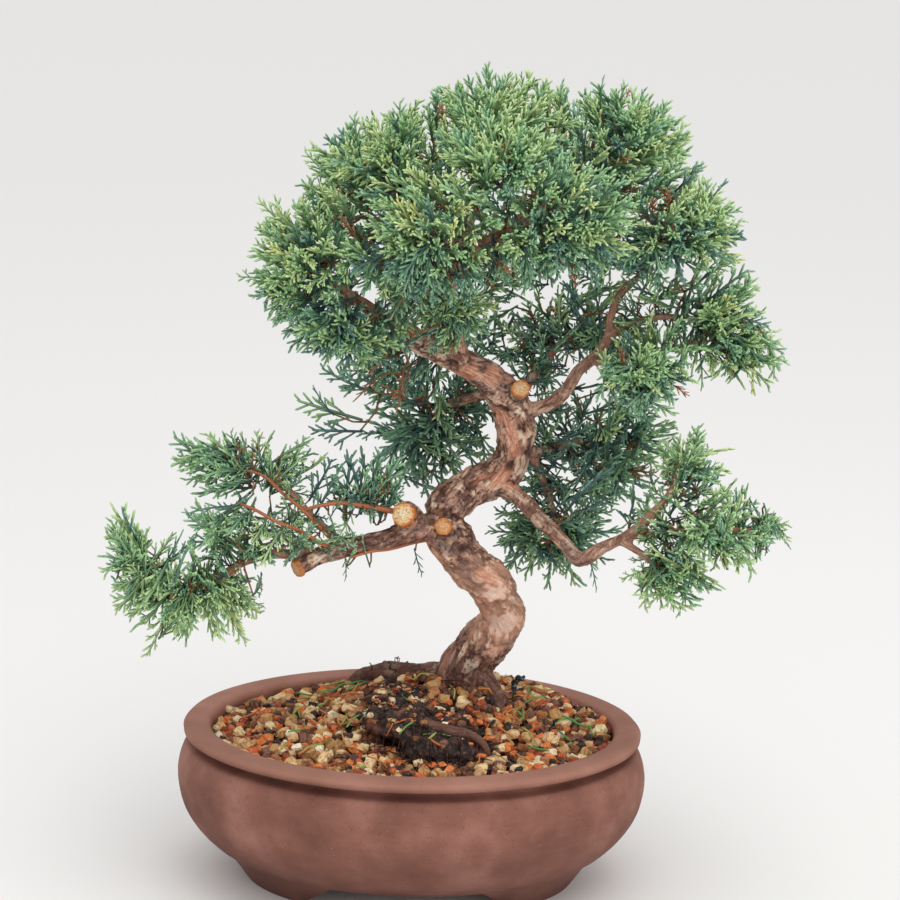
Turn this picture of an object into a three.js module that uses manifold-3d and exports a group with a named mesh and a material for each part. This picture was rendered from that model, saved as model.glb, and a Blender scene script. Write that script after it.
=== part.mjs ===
// Chinese juniper bonsai in an oval stoneware pot.
// Millimetres, +Z up, +Y away from the viewer, table at Z = 0.
// The tree is described from the middle of the pot, and the whole group is then
// moved so that the origin lies under the middle of its outer box.

import * as THREE from 'three';
import { mergeVertices } from 'three/addons/utils/BufferGeometryUtils.js';
import Module from 'manifold-3d';

const wasm = await Module();
wasm.setup();

// Driving dimensions
const treeShiftX = -11;           // pot centre from the middle of the outer box
const treeShiftY = 0;
const gap = 0.35;                 // clearance between touching pieces

const rimHeight = 69;
const rimHalfLength = 98.9;       // lip, widest
const bellyHalfLength = 101.4;
const bellyHeight = 45.6;
const footHalfLength = 72;        // at the table
const ovalDepthLoss = 22.4;       // the pot is this much less deep than long, each side
const ovalFullRadius = 60;        // radius from which the loss is complete
const footHeight = 12.5;
const floorTop = 18;              // inner floor of the pot
const mouthHalfLength = 87.4;
const potSegments = 40;

const footGapHalf = 32;           // front and back gaps between the two feet
const footGapFlare = 13;          // the gaps are this much wider at the table
const drainHoleX = 38;
const drainHoleRadius = 7.5;

const screenSize = 26;
const screenThickness = 0.8;
const screenPitch = 5;
const screenHole = 3.4;
const screenHolesPerSide = 5;
const clipRadius = 0.7;
const anchorRadius = 1.0;

const soilEdge = 65;              // top of the grains at the pot wall
const soilGap = 0.4;              // grains to pot wall
const mound = { x: 16, y: 18, height: 22, reachX: 50, reachY: 38 };
const moundRings = [74, 58, 42, 26, 12, 0];

const trunkSides = 10;
const branchSides = 6;
const twigSides = 5;
const wireSides = 6;
const fineBallRadius = 31;        // balls smaller than this get fewer faces

// Finishes
const finishes = {
  clay: { color: '#8a5648', roughness: 0.85, metalness: 0 },
  mesh: { color: '#20231f', roughness: 0.7, metalness: 0 },
  wire: { color: '#2a2a2c', roughness: 0.45, metalness: 0.8 },
  grit: { color: '#9a7a58', roughness: 0.95, metalness: 0 },
  peat: { color: '#2c1d18', roughness: 0.95, metalness: 0 },
  bark: { color: '#7d4a38', roughness: 0.9, metalness: 0 },
  leaf: { color: '#3f7a3c', roughness: 0.7, metalness: 0 },
};

const bonsai = new THREE.Group();
bonsai.position.set(treeShiftX, treeShiftY, 0);

// Solid from any closed geometry, with its shared vertices merged
function toSolid(geometry) {
  const bare = geometry.clone();
  bare.deleteAttribute('normal');
  bare.deleteAttribute('uv');
  const merged = mergeVertices(bare, 1e-4);
  const index = merged.index.array;
  const triangles = [];
  for (let i = 0; i < index.length; i += 3) {
    const [a, b, c] = [index[i], index[i + 1], index[i + 2]];
    if (a !== b && b !== c && c !== a) {
      triangles.push(a, b, c);
    }
  }
  return new wasm.Manifold(new wasm.Mesh({
    numProp: 3,
    vertProperties: new Float32Array(merged.attributes.position.array),
    triVerts: new Uint32Array(triangles),
  }));
}

// Geometry from the largest body of a solid
function toGeometry(solid) {
  const bodies = solid.decompose();
  bodies.sort((a, b) => b.volume() - a.volume());
  const mesh = bodies[0].getMesh();
  const geometry = new THREE.BufferGeometry();
  geometry.setAttribute('position', new THREE.BufferAttribute(new Float32Array(mesh.vertProperties), 3));
  geometry.setIndex(new THREE.BufferAttribute(new Uint32Array(mesh.triVerts), 1));
  geometry.computeVertexNormals();
  return geometry;
}

function addPiece(name, solid, finish) {
  const piece = new THREE.Mesh(toGeometry(solid), new THREE.MeshStandardMaterial(finishes[finish]));
  piece.name = name;
  bonsai.add(piece);
  return solid;
}

function join(solids) {
  return solids.reduce((whole, solid) => whole.add(solid));
}

function cut(solid, cutters) {
  return cutters.reduce((rest, cutter) => rest.subtract(cutter), solid);
}

// Depth of the oval at a point whose half-length is r: a constant loss outside
// ovalFullRadius, shrinking to none at the middle
function ovalDepth(r) {
  return r - ovalDepthLoss * Math.min(1, r / ovalFullRadius);
}

// Oval body of revolution: a lathe about Z, pressed in from front and back
function ovalLathe(profile, segments) {
  const points = profile.map(([r, z]) => new THREE.Vector2(r, z));
  const geometry = new THREE.LatheGeometry(points, segments);
  geometry.rotateX(Math.PI / 2);
  const position = geometry.attributes.position;
  for (let i = 0; i < position.count; i++) {
    const r = Math.hypot(position.getX(i), position.getY(i));
    if (r > 1e-6) {
      position.setY(i, position.getY(i) * ovalDepth(r) / r);
    }
  }
  return geometry;
}

// Tapered limb: a closed cylinder bent along a smooth curve through the points.
// Each point is [x, y, z, radius]; grow thickens the limb on all sides.
function limb(points, sides, steps, grow = 0) {
  const curve = new THREE.CatmullRomCurve3(
    points.map(([x, y, z]) => new THREE.Vector3(x, y, z)), false, 'centripetal');
  const frames = curve.computeFrenetFrames(steps, false);
  const geometry = new THREE.CylinderGeometry(1, 1, 1, sides, steps);
  const position = geometry.attributes.position;
  for (let i = 0; i < position.count; i++) {
    const along = position.getY(i) + 0.5;
    const ring = Math.round(along * steps);
    const u = ring / steps;
    const knot = curve.getUtoTmapping(u) * (points.length - 1);
    const low = Math.min(Math.floor(knot), points.length - 2);
    const radius = grow + THREE.MathUtils.lerp(points[low][3], points[low + 1][3], knot - low);
    const place = curve.getPointAt(u);
    place.addScaledVector(frames.normals[ring], position.getX(i) * radius);
    place.addScaledVector(frames.binormals[ring], -position.getZ(i) * radius);
    const overrun = ring === 0 ? -grow : ring === steps ? grow : 0;
    place.addScaledVector(frames.tangents[ring], overrun);
    position.setXYZ(i, place.x, place.y, place.z);
  }
  return toSolid(geometry);
}

// Round wire or rod of one radius along a smooth curve
function rod(points, radius, sides, steps) {
  const curve = new THREE.CatmullRomCurve3(
    points.map(([x, y, z]) => new THREE.Vector3(x, y, z)), false, 'centripetal');
  const section = new THREE.Shape();
  for (let k = 0; k < sides; k++) {
    const angle = 2 * Math.PI * k / sides;
    const [u, v] = [radius * Math.cos(angle), radius * Math.sin(angle)];
    if (k === 0) {
      section.moveTo(u, v);
    } else {
      section.lineTo(u, v);
    }
  }
  return toSolid(new THREE.ExtrudeGeometry(section, { steps, extrudePath: curve, bevelEnabled: false }));
}

// Soft lump: each ball is [x, y, z, rx, ry, rz]
function lump(balls, grow = 0) {
  return join(balls.map(([x, y, z, rx, ry, rz]) => {
    const ball = new THREE.IcosahedronGeometry(1, rx < fineBallRadius ? 1 : 2);
    ball.scale(rx + grow, ry + grow, rz + grow);
    ball.translate(x, y, z);
    return toSolid(ball);
  }));
}

// Pot: oval, belly-shaped, with a rolled lip over a dark neck groove, a flat
// underside, two long feet and two drain holes. The wall's inner side is a list of
// its own, because the grains follow it.
const potWall = [
  [mouthHalfLength, 66],
  [mouthHalfLength, 60],
  [92.4, 53],
  [94.2, 45.6],
  [92, 35],
  [86, 25.6],
  [76, 20.2],
  [64, floorTop],
];
const potProfile = [
  [0, footHeight],
  [footHalfLength - 9.6, footHeight],
  [footHalfLength - 9, 0],
  [footHalfLength - 0.6, 0],
  [footHalfLength + 0.2, 1],
  [footHalfLength + 8, footHeight],
  [87.6, 18],
  [94.6, 25.8],
  [99.4, 34.6],
  [bellyHalfLength, bellyHeight],
  [101, 51],
  [99.4, 56.6],
  [97.4, 60.2],
  [94.9, 61.6],
  [94.6, 64.2],
  [97.2, 65],
  [rimHalfLength, 66.6],
  [98.6, 68.2],
  [97.4, rimHeight],
  [88.6, rimHeight],
  ...potWall,
  [0, floorTop],
];

// Gap between the two feet, open to the front and the back
function footGap() {
  const outline = new THREE.Shape();
  outline.moveTo(-footGapHalf - footGapFlare, -1);
  outline.lineTo(footGapHalf + footGapFlare, -1);
  outline.lineTo(footGapHalf, footHeight);
  outline.lineTo(-footGapHalf, footHeight);
  outline.closePath();
  const length = 3 * footHalfLength;
  const bar = new THREE.ExtrudeGeometry(outline, { depth: length, bevelEnabled: false });
  bar.rotateX(Math.PI / 2);
  bar.translate(0, length / 2, 0);
  return toSolid(bar);
}

function drainHole(side) {
  const plug = new THREE.CylinderGeometry(drainHoleRadius, drainHoleRadius, 2 * floorTop, 20);
  plug.rotateX(Math.PI / 2);
  plug.translate(side * drainHoleX, 0, floorTop);
  return toSolid(plug);
}

const pot = cut(toSolid(ovalLathe(potProfile, potSegments)), [
  footGap(),
  drainHole(-1),
  drainHole(1),
]);
addPiece('pot', pot, 'clay');

// Plastic mesh screens over the drain holes
const screenBottom = floorTop + gap;
const screenTop = screenBottom + screenThickness;

function screen(side) {
  const sheet = new THREE.BoxGeometry(screenSize, screenSize, screenThickness);
  sheet.translate(side * drainHoleX, 0, screenBottom + screenThickness / 2);
  const middle = (screenHolesPerSide - 1) / 2;
  const holes = [];
  for (let i = 0; i < screenHolesPerSide; i++) {
    for (let j = 0; j < screenHolesPerSide; j++) {
      const hole = new THREE.BoxGeometry(screenHole, screenHole, 3 * screenThickness);
      hole.translate(side * drainHoleX + (i - middle) * screenPitch, (j - middle) * screenPitch, screenBottom);
      holes.push(toSolid(hole));
    }
  }
  return cut(toSolid(sheet), holes);
}

// Wire clips that hold the screens: a bar over the mesh, two legs through it and
// the hole, and ends bent out under the pot
const clipOver = screenTop + clipRadius + gap;
const clipUnder = footHeight - clipRadius - gap;

function clip(side, radius) {
  const middle = side * drainHoleX;
  const leg = screenPitch;
  return rod([
    [middle - leg - 8, 0, clipUnder],
    [middle - leg - 2, 0, clipUnder],
    [middle - leg, 0, clipUnder + 2.2],
    [middle - leg, 0, clipOver - 1.6],
    [middle - leg + 1.6, 0, clipOver],
    [middle + leg - 1.6, 0, clipOver],
    [middle + leg, 0, clipOver - 1.6],
    [middle + leg, 0, clipUnder + 2.2],
    [middle + leg + 2, 0, clipUnder],
    [middle + leg + 8, 0, clipUnder],
  ], radius, wireSides, 18);
}

// Tie wire: under the pot from hole to hole, up through both screens and the
// grains, and twisted off beside the trunk base
const anchorUnder = footHeight - anchorRadius - gap;
const anchorRoute = [
  [43.5, 12.5, 89],
  [45.5, 12, 81],
  [47, 11, 68],
  [43.5, 7, 44],
  [drainHoleX, screenPitch, floorTop + 6],
  [drainHoleX, screenPitch, footHeight + 3],
  [drainHoleX - 5, screenPitch, anchorUnder],
  [0, screenPitch, anchorUnder],
  [5 - drainHoleX, screenPitch, anchorUnder],
  [-drainHoleX, screenPitch, footHeight + 3],
  [-drainHoleX, screenPitch, floorTop + 6],
  [-29, 12, 44.5],
  [-11, 14, 60],
];

function anchor(radius) {
  return rod(anchorRoute, radius, wireSides, 36);
}

for (const [side, name] of [[-1, 'left'], [1, 'right']]) {
  addPiece(`drain_screen_${name}`, screen(side), 'mesh');
  addPiece(`screen_clip_${name}`, clip(side, clipRadius), 'wire');
}
addPiece('anchor_wire', anchor(anchorRadius), 'wire');

// Wood. Every limb is a list of [x, y, z, radius] from its root to its tip.
const woods = {
  trunk: [
    [[22.5, 20, 70, 13.8], [21, 20, 86, 12.8], [22.5, 19, 91, 12.3], [26.5, 17.5, 96, 11.8],
      [30.5, 15.5, 101.5, 11], [34.5, 13, 107, 10.1], [37.5, 9.5, 116, 9.3], [34.5, 4, 126, 9.3],
      [30.5, 0, 133.5, 9.4], [22.5, -5, 141.5, 9.3], [14.5, -9.5, 154, 9.8], [10, -10.5, 160, 9.2],
      [8, -10, 166, 5.4]],
    [[5.5, -9.5, 164, 5.4], [13, -6.5, 169, 9.1], [22.5, 0, 174.5, 8.4], [32, 4, 178.5, 8.2],
      [39, 6, 186.5, 8.2], [40.5, 6, 198, 8.6], [38, 4, 210, 8.2], [31.5, 2, 218.5, 7.3],
      [24, 0, 225, 6.5], [15.5, 0, 229.5, 5.7], [6.5, 0, 233, 5.3], [-1, 2, 236.5, 4.9],
      [-8, 6, 241.5, 4.1], [-11, 7, 246.5, 2]],
    [[24.5, 22, 83, 6.9], [11.5, 24, 83, 5.2], [2.5, 27, 81, 4.8], [-8.5, 31, 79, 4.4],
      [-17.5, 35, 77, 4], [-24.5, 38, 75, 3.4], [-29, 40, 71.5, 2.4]],
    [[33, 13, 88, 5.6], [38.5, 4, 83, 4.3], [42.5, -2, 79, 3.2], [46, -6, 73.5, 2]],
    [[15, -12, 158, 4.9], [11.5, -19, 162, 3.9], [11, -20.5, 162.5, 3.7]],
    [[39, 2, 209, 4.9], [41.5, -3, 215.5, 4.3], [42, -5.5, 220.5, 3.7]],
  ],
  left_branch: [
    [[15, -8, 159, 4.9], [5, -14, 161, 5.9], [-1.5, -18, 160.5, 5.5], [-9.5, -21, 158, 4.5], [-21.5, -24, 155.5, 4.2],
      [-31, -26, 153, 4.1], [-40, -28, 150, 3.7], [-50, -30.5, 145.5, 3.3]],
    [[1, -16, 161, 3.9], [-3, -23, 166.5, 5.1], [-6, -28.5, 169.5, 4.9]],
    [[-39, -28, 151, 2.5], [-50, -28.5, 151, 2.4], [-60.5, -30, 151, 2.2], [-71.5, -32, 148, 2],
      [-85, -34, 139.5, 1.7], [-99, -35, 136.5, 1.4], [-112.5, -35, 145.5, 1.1]],
    [[-28, -26, 153.5, 2.2], [-42, -24, 164.5, 1.9], [-55.5, -20, 177.5, 1.6], [-71, -18, 186, 1.3]],
    [[-42, -28, 151.5, 1.8], [-52.5, -31, 157.5, 1.6], [-65.5, -32, 161.5, 1.3]],
  ],
  left_twig: [
    [[-3.5, -20, 170, 1.6], [-12.5, -18, 172.5, 1.5], [-24, -16, 173, 1.3], [-34, -16, 172, 1]],
  ],
  low_right_branch: [
    [[34.5, 2, 175.5, 4.5], [44, -6, 171, 3.8], [51.5, -14, 165.5, 3.5], [61, -22, 158, 3.2],
      [68, -28, 152, 3.2], [77, -32, 158.5, 2.7], [83.5, -34, 162.5, 2.4], [90.5, -36, 168, 2.4],
      [97.5, -38, 176, 2.1], [103.5, -38, 184, 1.8], [107, -37, 196, 1.4]],
    [[85.5, -34.5, 164, 2], [97, -37, 166.5, 1.9], [111, -40, 168.5, 1.7], [126.5, -39, 169.5, 1.4],
      [142.5, -37, 169, 1]],
    [[83.5, -34, 162.5, 1.8], [93.5, -40, 158, 1.6], [103, -44, 151, 1.3]],
  ],
  upper_right_branch: [
    [[39, 4, 206, 4.7], [49, 4, 209, 4.1], [56.5, 2, 212.5, 3.7], [62, 0, 219.5, 3.5], [66, 0, 226.5, 3.4],
      [72, 2, 231.5, 3.2], [76, 4, 235.5, 2.9], [78, 6, 241, 2.6], [79.5, 8, 250.5, 2.4],
      [83, 10, 258, 2.2], [90, 11, 265, 2], [97, 6, 275, 1.7], [99, -2, 286, 1.3]],
    [[77, 5, 240, 2.2], [88, 6, 246, 2], [102, 5, 249.5, 1.8], [117.5, 2, 248.5, 1.5], [131, -3, 241.5, 1.1]],
    [[70.5, 1.5, 230, 2.2], [79, -13, 232, 1.8], [89, -27, 231, 1.3]],
  ],
  crown_left_branch: [
    [[-6, 5, 239.5, 3.5], [-20, 1, 248.5, 3.1], [-33.5, -9, 259.5, 2.5], [-45, -16, 270.5, 1.8]],
    [[-18, 1.5, 247.5, 2.2], [-25.5, -12, 245.5, 1.9], [-30.5, -22, 243.5, 1.4]],
  ],
  crown_upper_left_branch: [
    [[-8, 6, 242.5, 3.1], [-13, 5, 260, 2.8], [-14.5, 0, 281.5, 2.4], [-12.5, -4, 303.5, 1.6]],
  ],
  crown_leader: [
    [[11.5, 0, 230.5, 3.9], [9.5, 6, 248, 3.6], [13.5, 10, 271.5, 3.1], [21.5, 8, 297, 2.5], [29.5, 5, 318.5, 1.7]],
  ],
  crown_right_branch: [
    [[13.5, 10, 269.5, 2.7], [35.5, 9, 285.5, 2.5], [57, 6, 301, 2.2], [75.5, 5, 313.5, 1.5]],
  ],
  crown_front_branch: [
    [[17.5, -2, 228.5, 3.5], [12.5, -14, 248.5, 3.1], [7, -30, 270, 2.6], [5, -44, 286, 2]],
    [[6, -32, 272, 2.2], [23.5, -40, 285.5, 2], [45, -43, 295.5, 1.5]],
    [[7, -33, 273, 1.8], [15.5, -40, 293.5, 1.6], [27.5, -39, 313, 1.3]],
  ],
  crown_back_left_branch: [
    [[4.5, 2, 234.5, 2.9], [1, 20, 250, 2.6], [-4, 36, 269.5, 2.2], [-7.5, 46, 286.5, 1.5]],
  ],
  crown_back_right_branch: [
    [[11.5, 9, 260, 2.7], [27.5, 28, 271.5, 2.4], [47, 42, 283, 2], [61, 47, 289, 1.4]],
  ],
  back_left_branch: [
    [[32, 4, 216.5, 2.9], [25, 18, 211, 2.5], [11.5, 34, 202, 2.2], [2.5, 42, 193, 1.5]],
  ],
  back_upper_branch: [
    [[40, 7, 209, 2.9], [45.5, 20, 216.5, 2.5], [56.5, 34, 228, 2.1], [65.5, 41, 235, 1.4]],
  ],
  back_right_branch: [
    [[39.5, 7, 191, 3.3], [48.5, 21, 186, 2.8], [60, 33, 186, 2.3], [71, 39, 187, 1.5]],
    [[47.5, 20, 186, 2.2], [55, 31, 167.5, 1.9], [62, 37, 147.5, 1.3]],
  ],
};

function limbSteps(points) {
  return Math.max(3, Math.round(points.length * 1.5));
}

function limbSides(name, index) {
  if (name === 'trunk') {
    return index < 2 ? trunkSides : branchSides;
  }
  return index === 0 ? branchSides : twigSides;
}

function woodSolid(name, grow = 0) {
  return join(woods[name].map((points, index) => (
    limb(points, limbSides(name, index), limbSteps(points), grow))));
}

const grownWood = {};
for (const name of Object.keys(woods)) {
  const neighbours = Object.values(grownWood);
  addPiece(name, cut(woodSolid(name), neighbours), 'bark');
  grownWood[name] = woodSolid(name, gap);
}

// Grains: they fill the pot up to a mound around the trunk base
function soilHeight(x, y) {
  const dx = (x - mound.x) / mound.reachX;
  const dy = (y - mound.y) / mound.reachY;
  return soilEdge + mound.height * Math.exp(-dx * dx - dy * dy);
}

function soilBody(lift) {
  const side = potWall.map(([r, z]) => [r - soilGap, Math.min(Math.max(z, floorTop + gap), soilEdge)]);
  const profile = [[0, floorTop + gap], ...side.reverse()];
  for (const r of moundRings) {
    profile.push([r, rimHeight]);
  }
  const geometry = ovalLathe(profile, potSegments / 2);
  const position = geometry.attributes.position;
  for (let i = 0; i < position.count; i++) {
    if (position.getZ(i) >= soilEdge - 1e-3) {
      position.setZ(i, soilHeight(position.getX(i), position.getY(i)) + lift);
    }
  }
  return toSolid(geometry);
}

function screenRoom(side) {
  const room = new THREE.BoxGeometry(screenSize + 2 * gap, screenSize + 2 * gap, screenThickness + 2 * gap);
  room.translate(side * drainHoleX, 0, screenBottom + screenThickness / 2);
  return toSolid(room);
}

const soil = cut(soilBody(0), [
  screenRoom(-1),
  screenRoom(1),
  clip(-1, clipRadius + gap),
  clip(1, clipRadius + gap),
  anchor(anchorRadius + gap),
  grownWood.trunk,
]);
addPiece('soil', soil, 'grit');

// Dark mat of fine roots and peat that lies on the grains before the trunk
const rootMat = [
  [2.5, -16, 76, 23.5, 19.5, 7],
  [14.5, -32, 71, 18.5, 13.5, 7],
  [-1, 6, 79, 19.5, 16.5, 6.5],
];
addPiece('root_mat', cut(lump(rootMat), [soilBody(gap), grownWood.trunk, anchor(anchorRadius + gap)]), 'peat');

// Foliage: one soft solid for the leaves of each branch end
const pads = {
  foliage_low_right: [[116, -40, 169.5, 29.5, 31.5, 20.5], [112, -31, 192, 15.5, 19.5, 17.5], [141.5, -36, 169, 12.5, 12.5, 8],
    [105, -46, 149, 17.5, 19.5, 12.5]],
  foliage_left_upper: [[-72, -18, 187, 32.5, 19.5, 13.5]],
  foliage_left_middle: [[-60.5, -32, 161.5, 36, 21.5, 13.5]],
  foliage_left_low: [[-93, -34, 132.5, 32.5, 25.5, 19.5], [-119.5, -34, 154, 12.5, 12.5, 17.5]],
  foliage_left_inner: [[-22, -14, 177, 19.5, 17.5, 16.5]],
  foliage_right_front: [[90, -30, 231.5, 19.5, 18.5, 16.5]],
  foliage_crown_front: [[5, -50, 288, 26.5, 23.5, 25.5], [27.5, -42, 316, 25.5, 21.5, 19.5]],
  foliage_crown_front_right: [[51, -46, 295.5, 31.5, 23.5, 26.5]],
  foliage_crown_left: [[-40, -18, 272, 32.5, 37, 29.5], [-28.5, -22, 245.5, 24.5, 25.5, 14.5]],
  foliage_apex: [[31.5, 4, 326.5, 32.5, 35.5, 24]],
  foliage_crown_upper_left: [[-12.5, -3, 307, 33.5, 37, 25.5]],
  foliage_crown_right: [[78.5, 5, 318.5, 29.5, 37, 26.5]],
  foliage_shoulder_right: [[100, -3, 288, 30.5, 35.5, 24.5]],
  foliage_right: [[111.5, 4, 251.5, 31.5, 33.5, 25.5], [134, -5, 237.5, 16.5, 16.5, 13.5]],
  foliage_crown_back_left: [[-7.5, 46, 290, 43, 33.5, 37]],
  foliage_crown_back_right: [[63, 46, 291, 45, 33.5, 37]],
  foliage_back_left: [[1.5, 43, 194, 27.5, 27.5, 33.5]],
  foliage_back_upper: [[66.5, 43, 235, 32.5, 25.5, 20.5]],
  foliage_back_right: [[73, 42, 187, 29.5, 26.5, 26.5]],
  foliage_back_low: [[62, 39, 144, 27.5, 23.5, 21.5]],
};

const grownPads = [];
for (const [name, balls] of Object.entries(pads)) {
  addPiece(name, cut(lump(balls), [...Object.values(grownWood), ...grownPads]), 'leaf');
  grownPads.push(lump(balls, gap));
}

export default bonsai;
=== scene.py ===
import math
import random

import bmesh
import bpy
import numpy as np
from mathutils import Matrix, Vector, kdtree, noise


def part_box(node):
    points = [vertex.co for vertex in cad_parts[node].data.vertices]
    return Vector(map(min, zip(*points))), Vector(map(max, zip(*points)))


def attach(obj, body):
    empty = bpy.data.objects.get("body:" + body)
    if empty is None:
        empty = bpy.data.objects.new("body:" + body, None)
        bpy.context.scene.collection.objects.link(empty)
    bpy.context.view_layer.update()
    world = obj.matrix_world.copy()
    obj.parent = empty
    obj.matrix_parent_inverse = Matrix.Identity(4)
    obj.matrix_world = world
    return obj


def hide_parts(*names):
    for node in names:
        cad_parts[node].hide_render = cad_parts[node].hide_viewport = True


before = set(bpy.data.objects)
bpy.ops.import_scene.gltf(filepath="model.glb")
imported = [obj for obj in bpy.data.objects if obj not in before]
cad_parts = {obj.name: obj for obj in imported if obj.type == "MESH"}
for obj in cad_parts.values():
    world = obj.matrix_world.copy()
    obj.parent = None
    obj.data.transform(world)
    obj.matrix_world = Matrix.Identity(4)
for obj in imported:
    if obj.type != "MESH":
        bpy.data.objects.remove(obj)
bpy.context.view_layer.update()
print("frame loaded:", len(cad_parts), "nodes")
noise.seed_set(35)  # without a seed the vector noise starts from the clock

mm = 0.001
potLow, potHigh = (Vector(corner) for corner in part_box("pot"))
potMiddle = Vector(((potLow.x + potHigh.x) / 2, (potLow.y + potHigh.y) / 2, 0))
# Pieces are shaped in millimetres from a point under the middle of the pot, then moved to the frame
toFrame = Matrix.Translation(potMiddle) @ Matrix.Scale(mm, 4)


# Small tools

def colour(hexValue):
    channels = [int(hexValue[i:i + 2], 16) / 255 for i in (1, 3, 5)]
    return [c / 12.92 if c <= 0.04045 else ((c + 0.055) / 1.055) ** 2.4 for c in channels] + [1.0]


def setInput(tree, node, key, value):
    if isinstance(value, bpy.types.Node):
        value = value.outputs[0]
    if isinstance(value, str):
        value = colour(value)
    if isinstance(value, bpy.types.NodeSocket):
        tree.links.new(value, node.inputs[key])
    else:
        node.inputs[key].default_value = value


def addNode(tree, kind, inputs, **settings):
    node = tree.nodes.new(kind)
    for key, value in settings.items():
        setattr(node, key, value)
    for key, value in inputs.items():
        setInput(tree, node, key, value)
    return node


# The object's own coordinates, in metres
def objectPlace(tree):
    return addNode(tree, "ShaderNodeTexCoord", {}).outputs["Object"]


# The leaf and grain palette: across by tone, upward by age
def paletteParts(tree):
    paint = addNode(tree, "ShaderNodeUVMap", {}, uv_map="OFBake")
    parts = addNode(tree, "ShaderNodeSeparateXYZ", {"Vector": paint})
    return paint, parts.outputs[0], parts.outputs[1]


def noiseOf(tree, place, scale, detail):
    return addNode(tree, "ShaderNodeTexNoise", {"Vector": place, "Scale": scale, "Detail": detail})


def rampOf(tree, value, stops, interpolation="LINEAR"):
    node = addNode(tree, "ShaderNodeValToRGB", {"Fac": value})
    band = node.color_ramp
    band.interpolation = interpolation
    while len(band.elements) < len(stops):
        band.elements.new(1.0)
    for element, (place, tone) in zip(band.elements, stops):
        element.position = place
        element.color = colour(tone) if isinstance(tone, str) else [tone, tone, tone, 1.0]
    return node


def mixOf(tree, share, first, second):
    return addNode(tree, "ShaderNodeMix", {0: share, 6: first, 7: second}, data_type="RGBA").outputs[2]


def mathOf(tree, operation, *values):
    return addNode(tree, "ShaderNodeMath", dict(enumerate(values)), operation=operation)


def rangeOf(tree, value, low, high, start, end):
    ends = {"From Min": low, "From Max": high, "To Min": start, "To Max": end}
    return addNode(tree, "ShaderNodeMapRange", {"Value": value, **ends})


# Distance in millimetres
def bumpOf(tree, height, strength, distance, under=None):
    inputs = {"Height": height, "Strength": strength, "Distance": distance * mm}
    if under:
        inputs["Normal"] = under
    return addNode(tree, "ShaderNodeBump", inputs)


def newMaterial(name, roughness, specular=0.5):
    material = bpy.data.materials.new(name)
    material.use_nodes = True
    tree = material.node_tree
    tree.nodes.clear()
    shader = {"Roughness": roughness, "Specular IOR Level": specular}
    surface = addNode(tree, "ShaderNodeBsdfPrincipled", shader)
    addNode(tree, "ShaderNodeOutputMaterial", {"Surface": surface})
    return material, tree, surface


def toMesh(bm, name):
    mesh = bpy.data.meshes.new(name)
    bm.to_mesh(mesh)
    bm.free()
    return mesh


def finishPiece(name, mesh, material, replaced=(), smooth=True):
    mesh.name = name
    mesh.transform(toFrame)
    mesh.materials.clear()
    mesh.materials.append(material)
    mesh.polygons.foreach_set("use_smooth", [smooth] * len(mesh.polygons))
    piece = bpy.data.objects.new(name, mesh)
    bpy.context.scene.collection.objects.link(piece)
    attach(piece, "root")
    if replaced:
        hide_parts(*replaced)
    return piece


# The mesh with the given modifiers applied to it
def throughModifiers(mesh, *modifiers):
    holder = bpy.data.objects.new("holder", mesh)
    bpy.context.scene.collection.objects.link(holder)
    for kind, settings in modifiers:
        modifier = holder.modifiers.new(kind, kind)
        for key, value in settings.items():
            setattr(modifier, key, value)
    graph = bpy.context.evaluated_depsgraph_get()
    done = bpy.data.meshes.new_from_object(holder.evaluated_get(graph))
    bpy.data.objects.remove(holder)
    return done


def vertexPlaces(mesh):
    places = np.zeros(len(mesh.vertices) * 3, np.float32)
    mesh.vertices.foreach_get("co", places)
    return places.reshape(-1, 3).astype(float)


# Points and radii along a smooth curve through [x, y, z, radius] rows, about step apart
def smoothLine(rows, step):
    rows = [np.array(row, float) for row in rows]
    rows = [2 * rows[0] - rows[1]] + rows + [2 * rows[-1] - rows[-2]]
    line = []
    for a, b, c, d in zip(rows, rows[1:], rows[2:], rows[3:]):
        k1 = np.linalg.norm(b[:3] - a[:3]) ** 0.5
        k2 = k1 + np.linalg.norm(c[:3] - b[:3]) ** 0.5
        k3 = k2 + np.linalg.norm(d[:3] - c[:3]) ** 0.5
        count = max(1, round(np.linalg.norm(c[:3] - b[:3]) / step))
        for i in range(count):
            t = k1 + (k2 - k1) * i / count
            ab = a + (b - a) * t / k1
            bc = b + (c - b) * (t - k1) / (k2 - k1)
            cd = c + (d - c) * (t - k2) / (k3 - k2)
            ac = ab + (bc - ab) * t / k2
            bd = bc + (cd - bc) * (t - k1) / (k3 - k1)
            line.append(ac + (bd - ac) * (t - k1) / (k2 - k1))
    line.append(rows[-2])
    return line


# Frames that travel along a line without twisting
def travel(places):
    places = [Vector(place[:3]) for place in places]
    side = (places[1] - places[0]).orthogonal().normalized()
    frames = []
    for i, place in enumerate(places):
        aim = (places[min(i + 1, len(places) - 1)] - places[max(i - 1, 0)]).normalized()
        side = (side - aim * side.dot(aim)).normalized()
        turn = Matrix((side, aim.cross(side), aim)).transposed().to_4x4()
        frames.append(Matrix.Translation(place) @ turn)
    return frames


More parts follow.
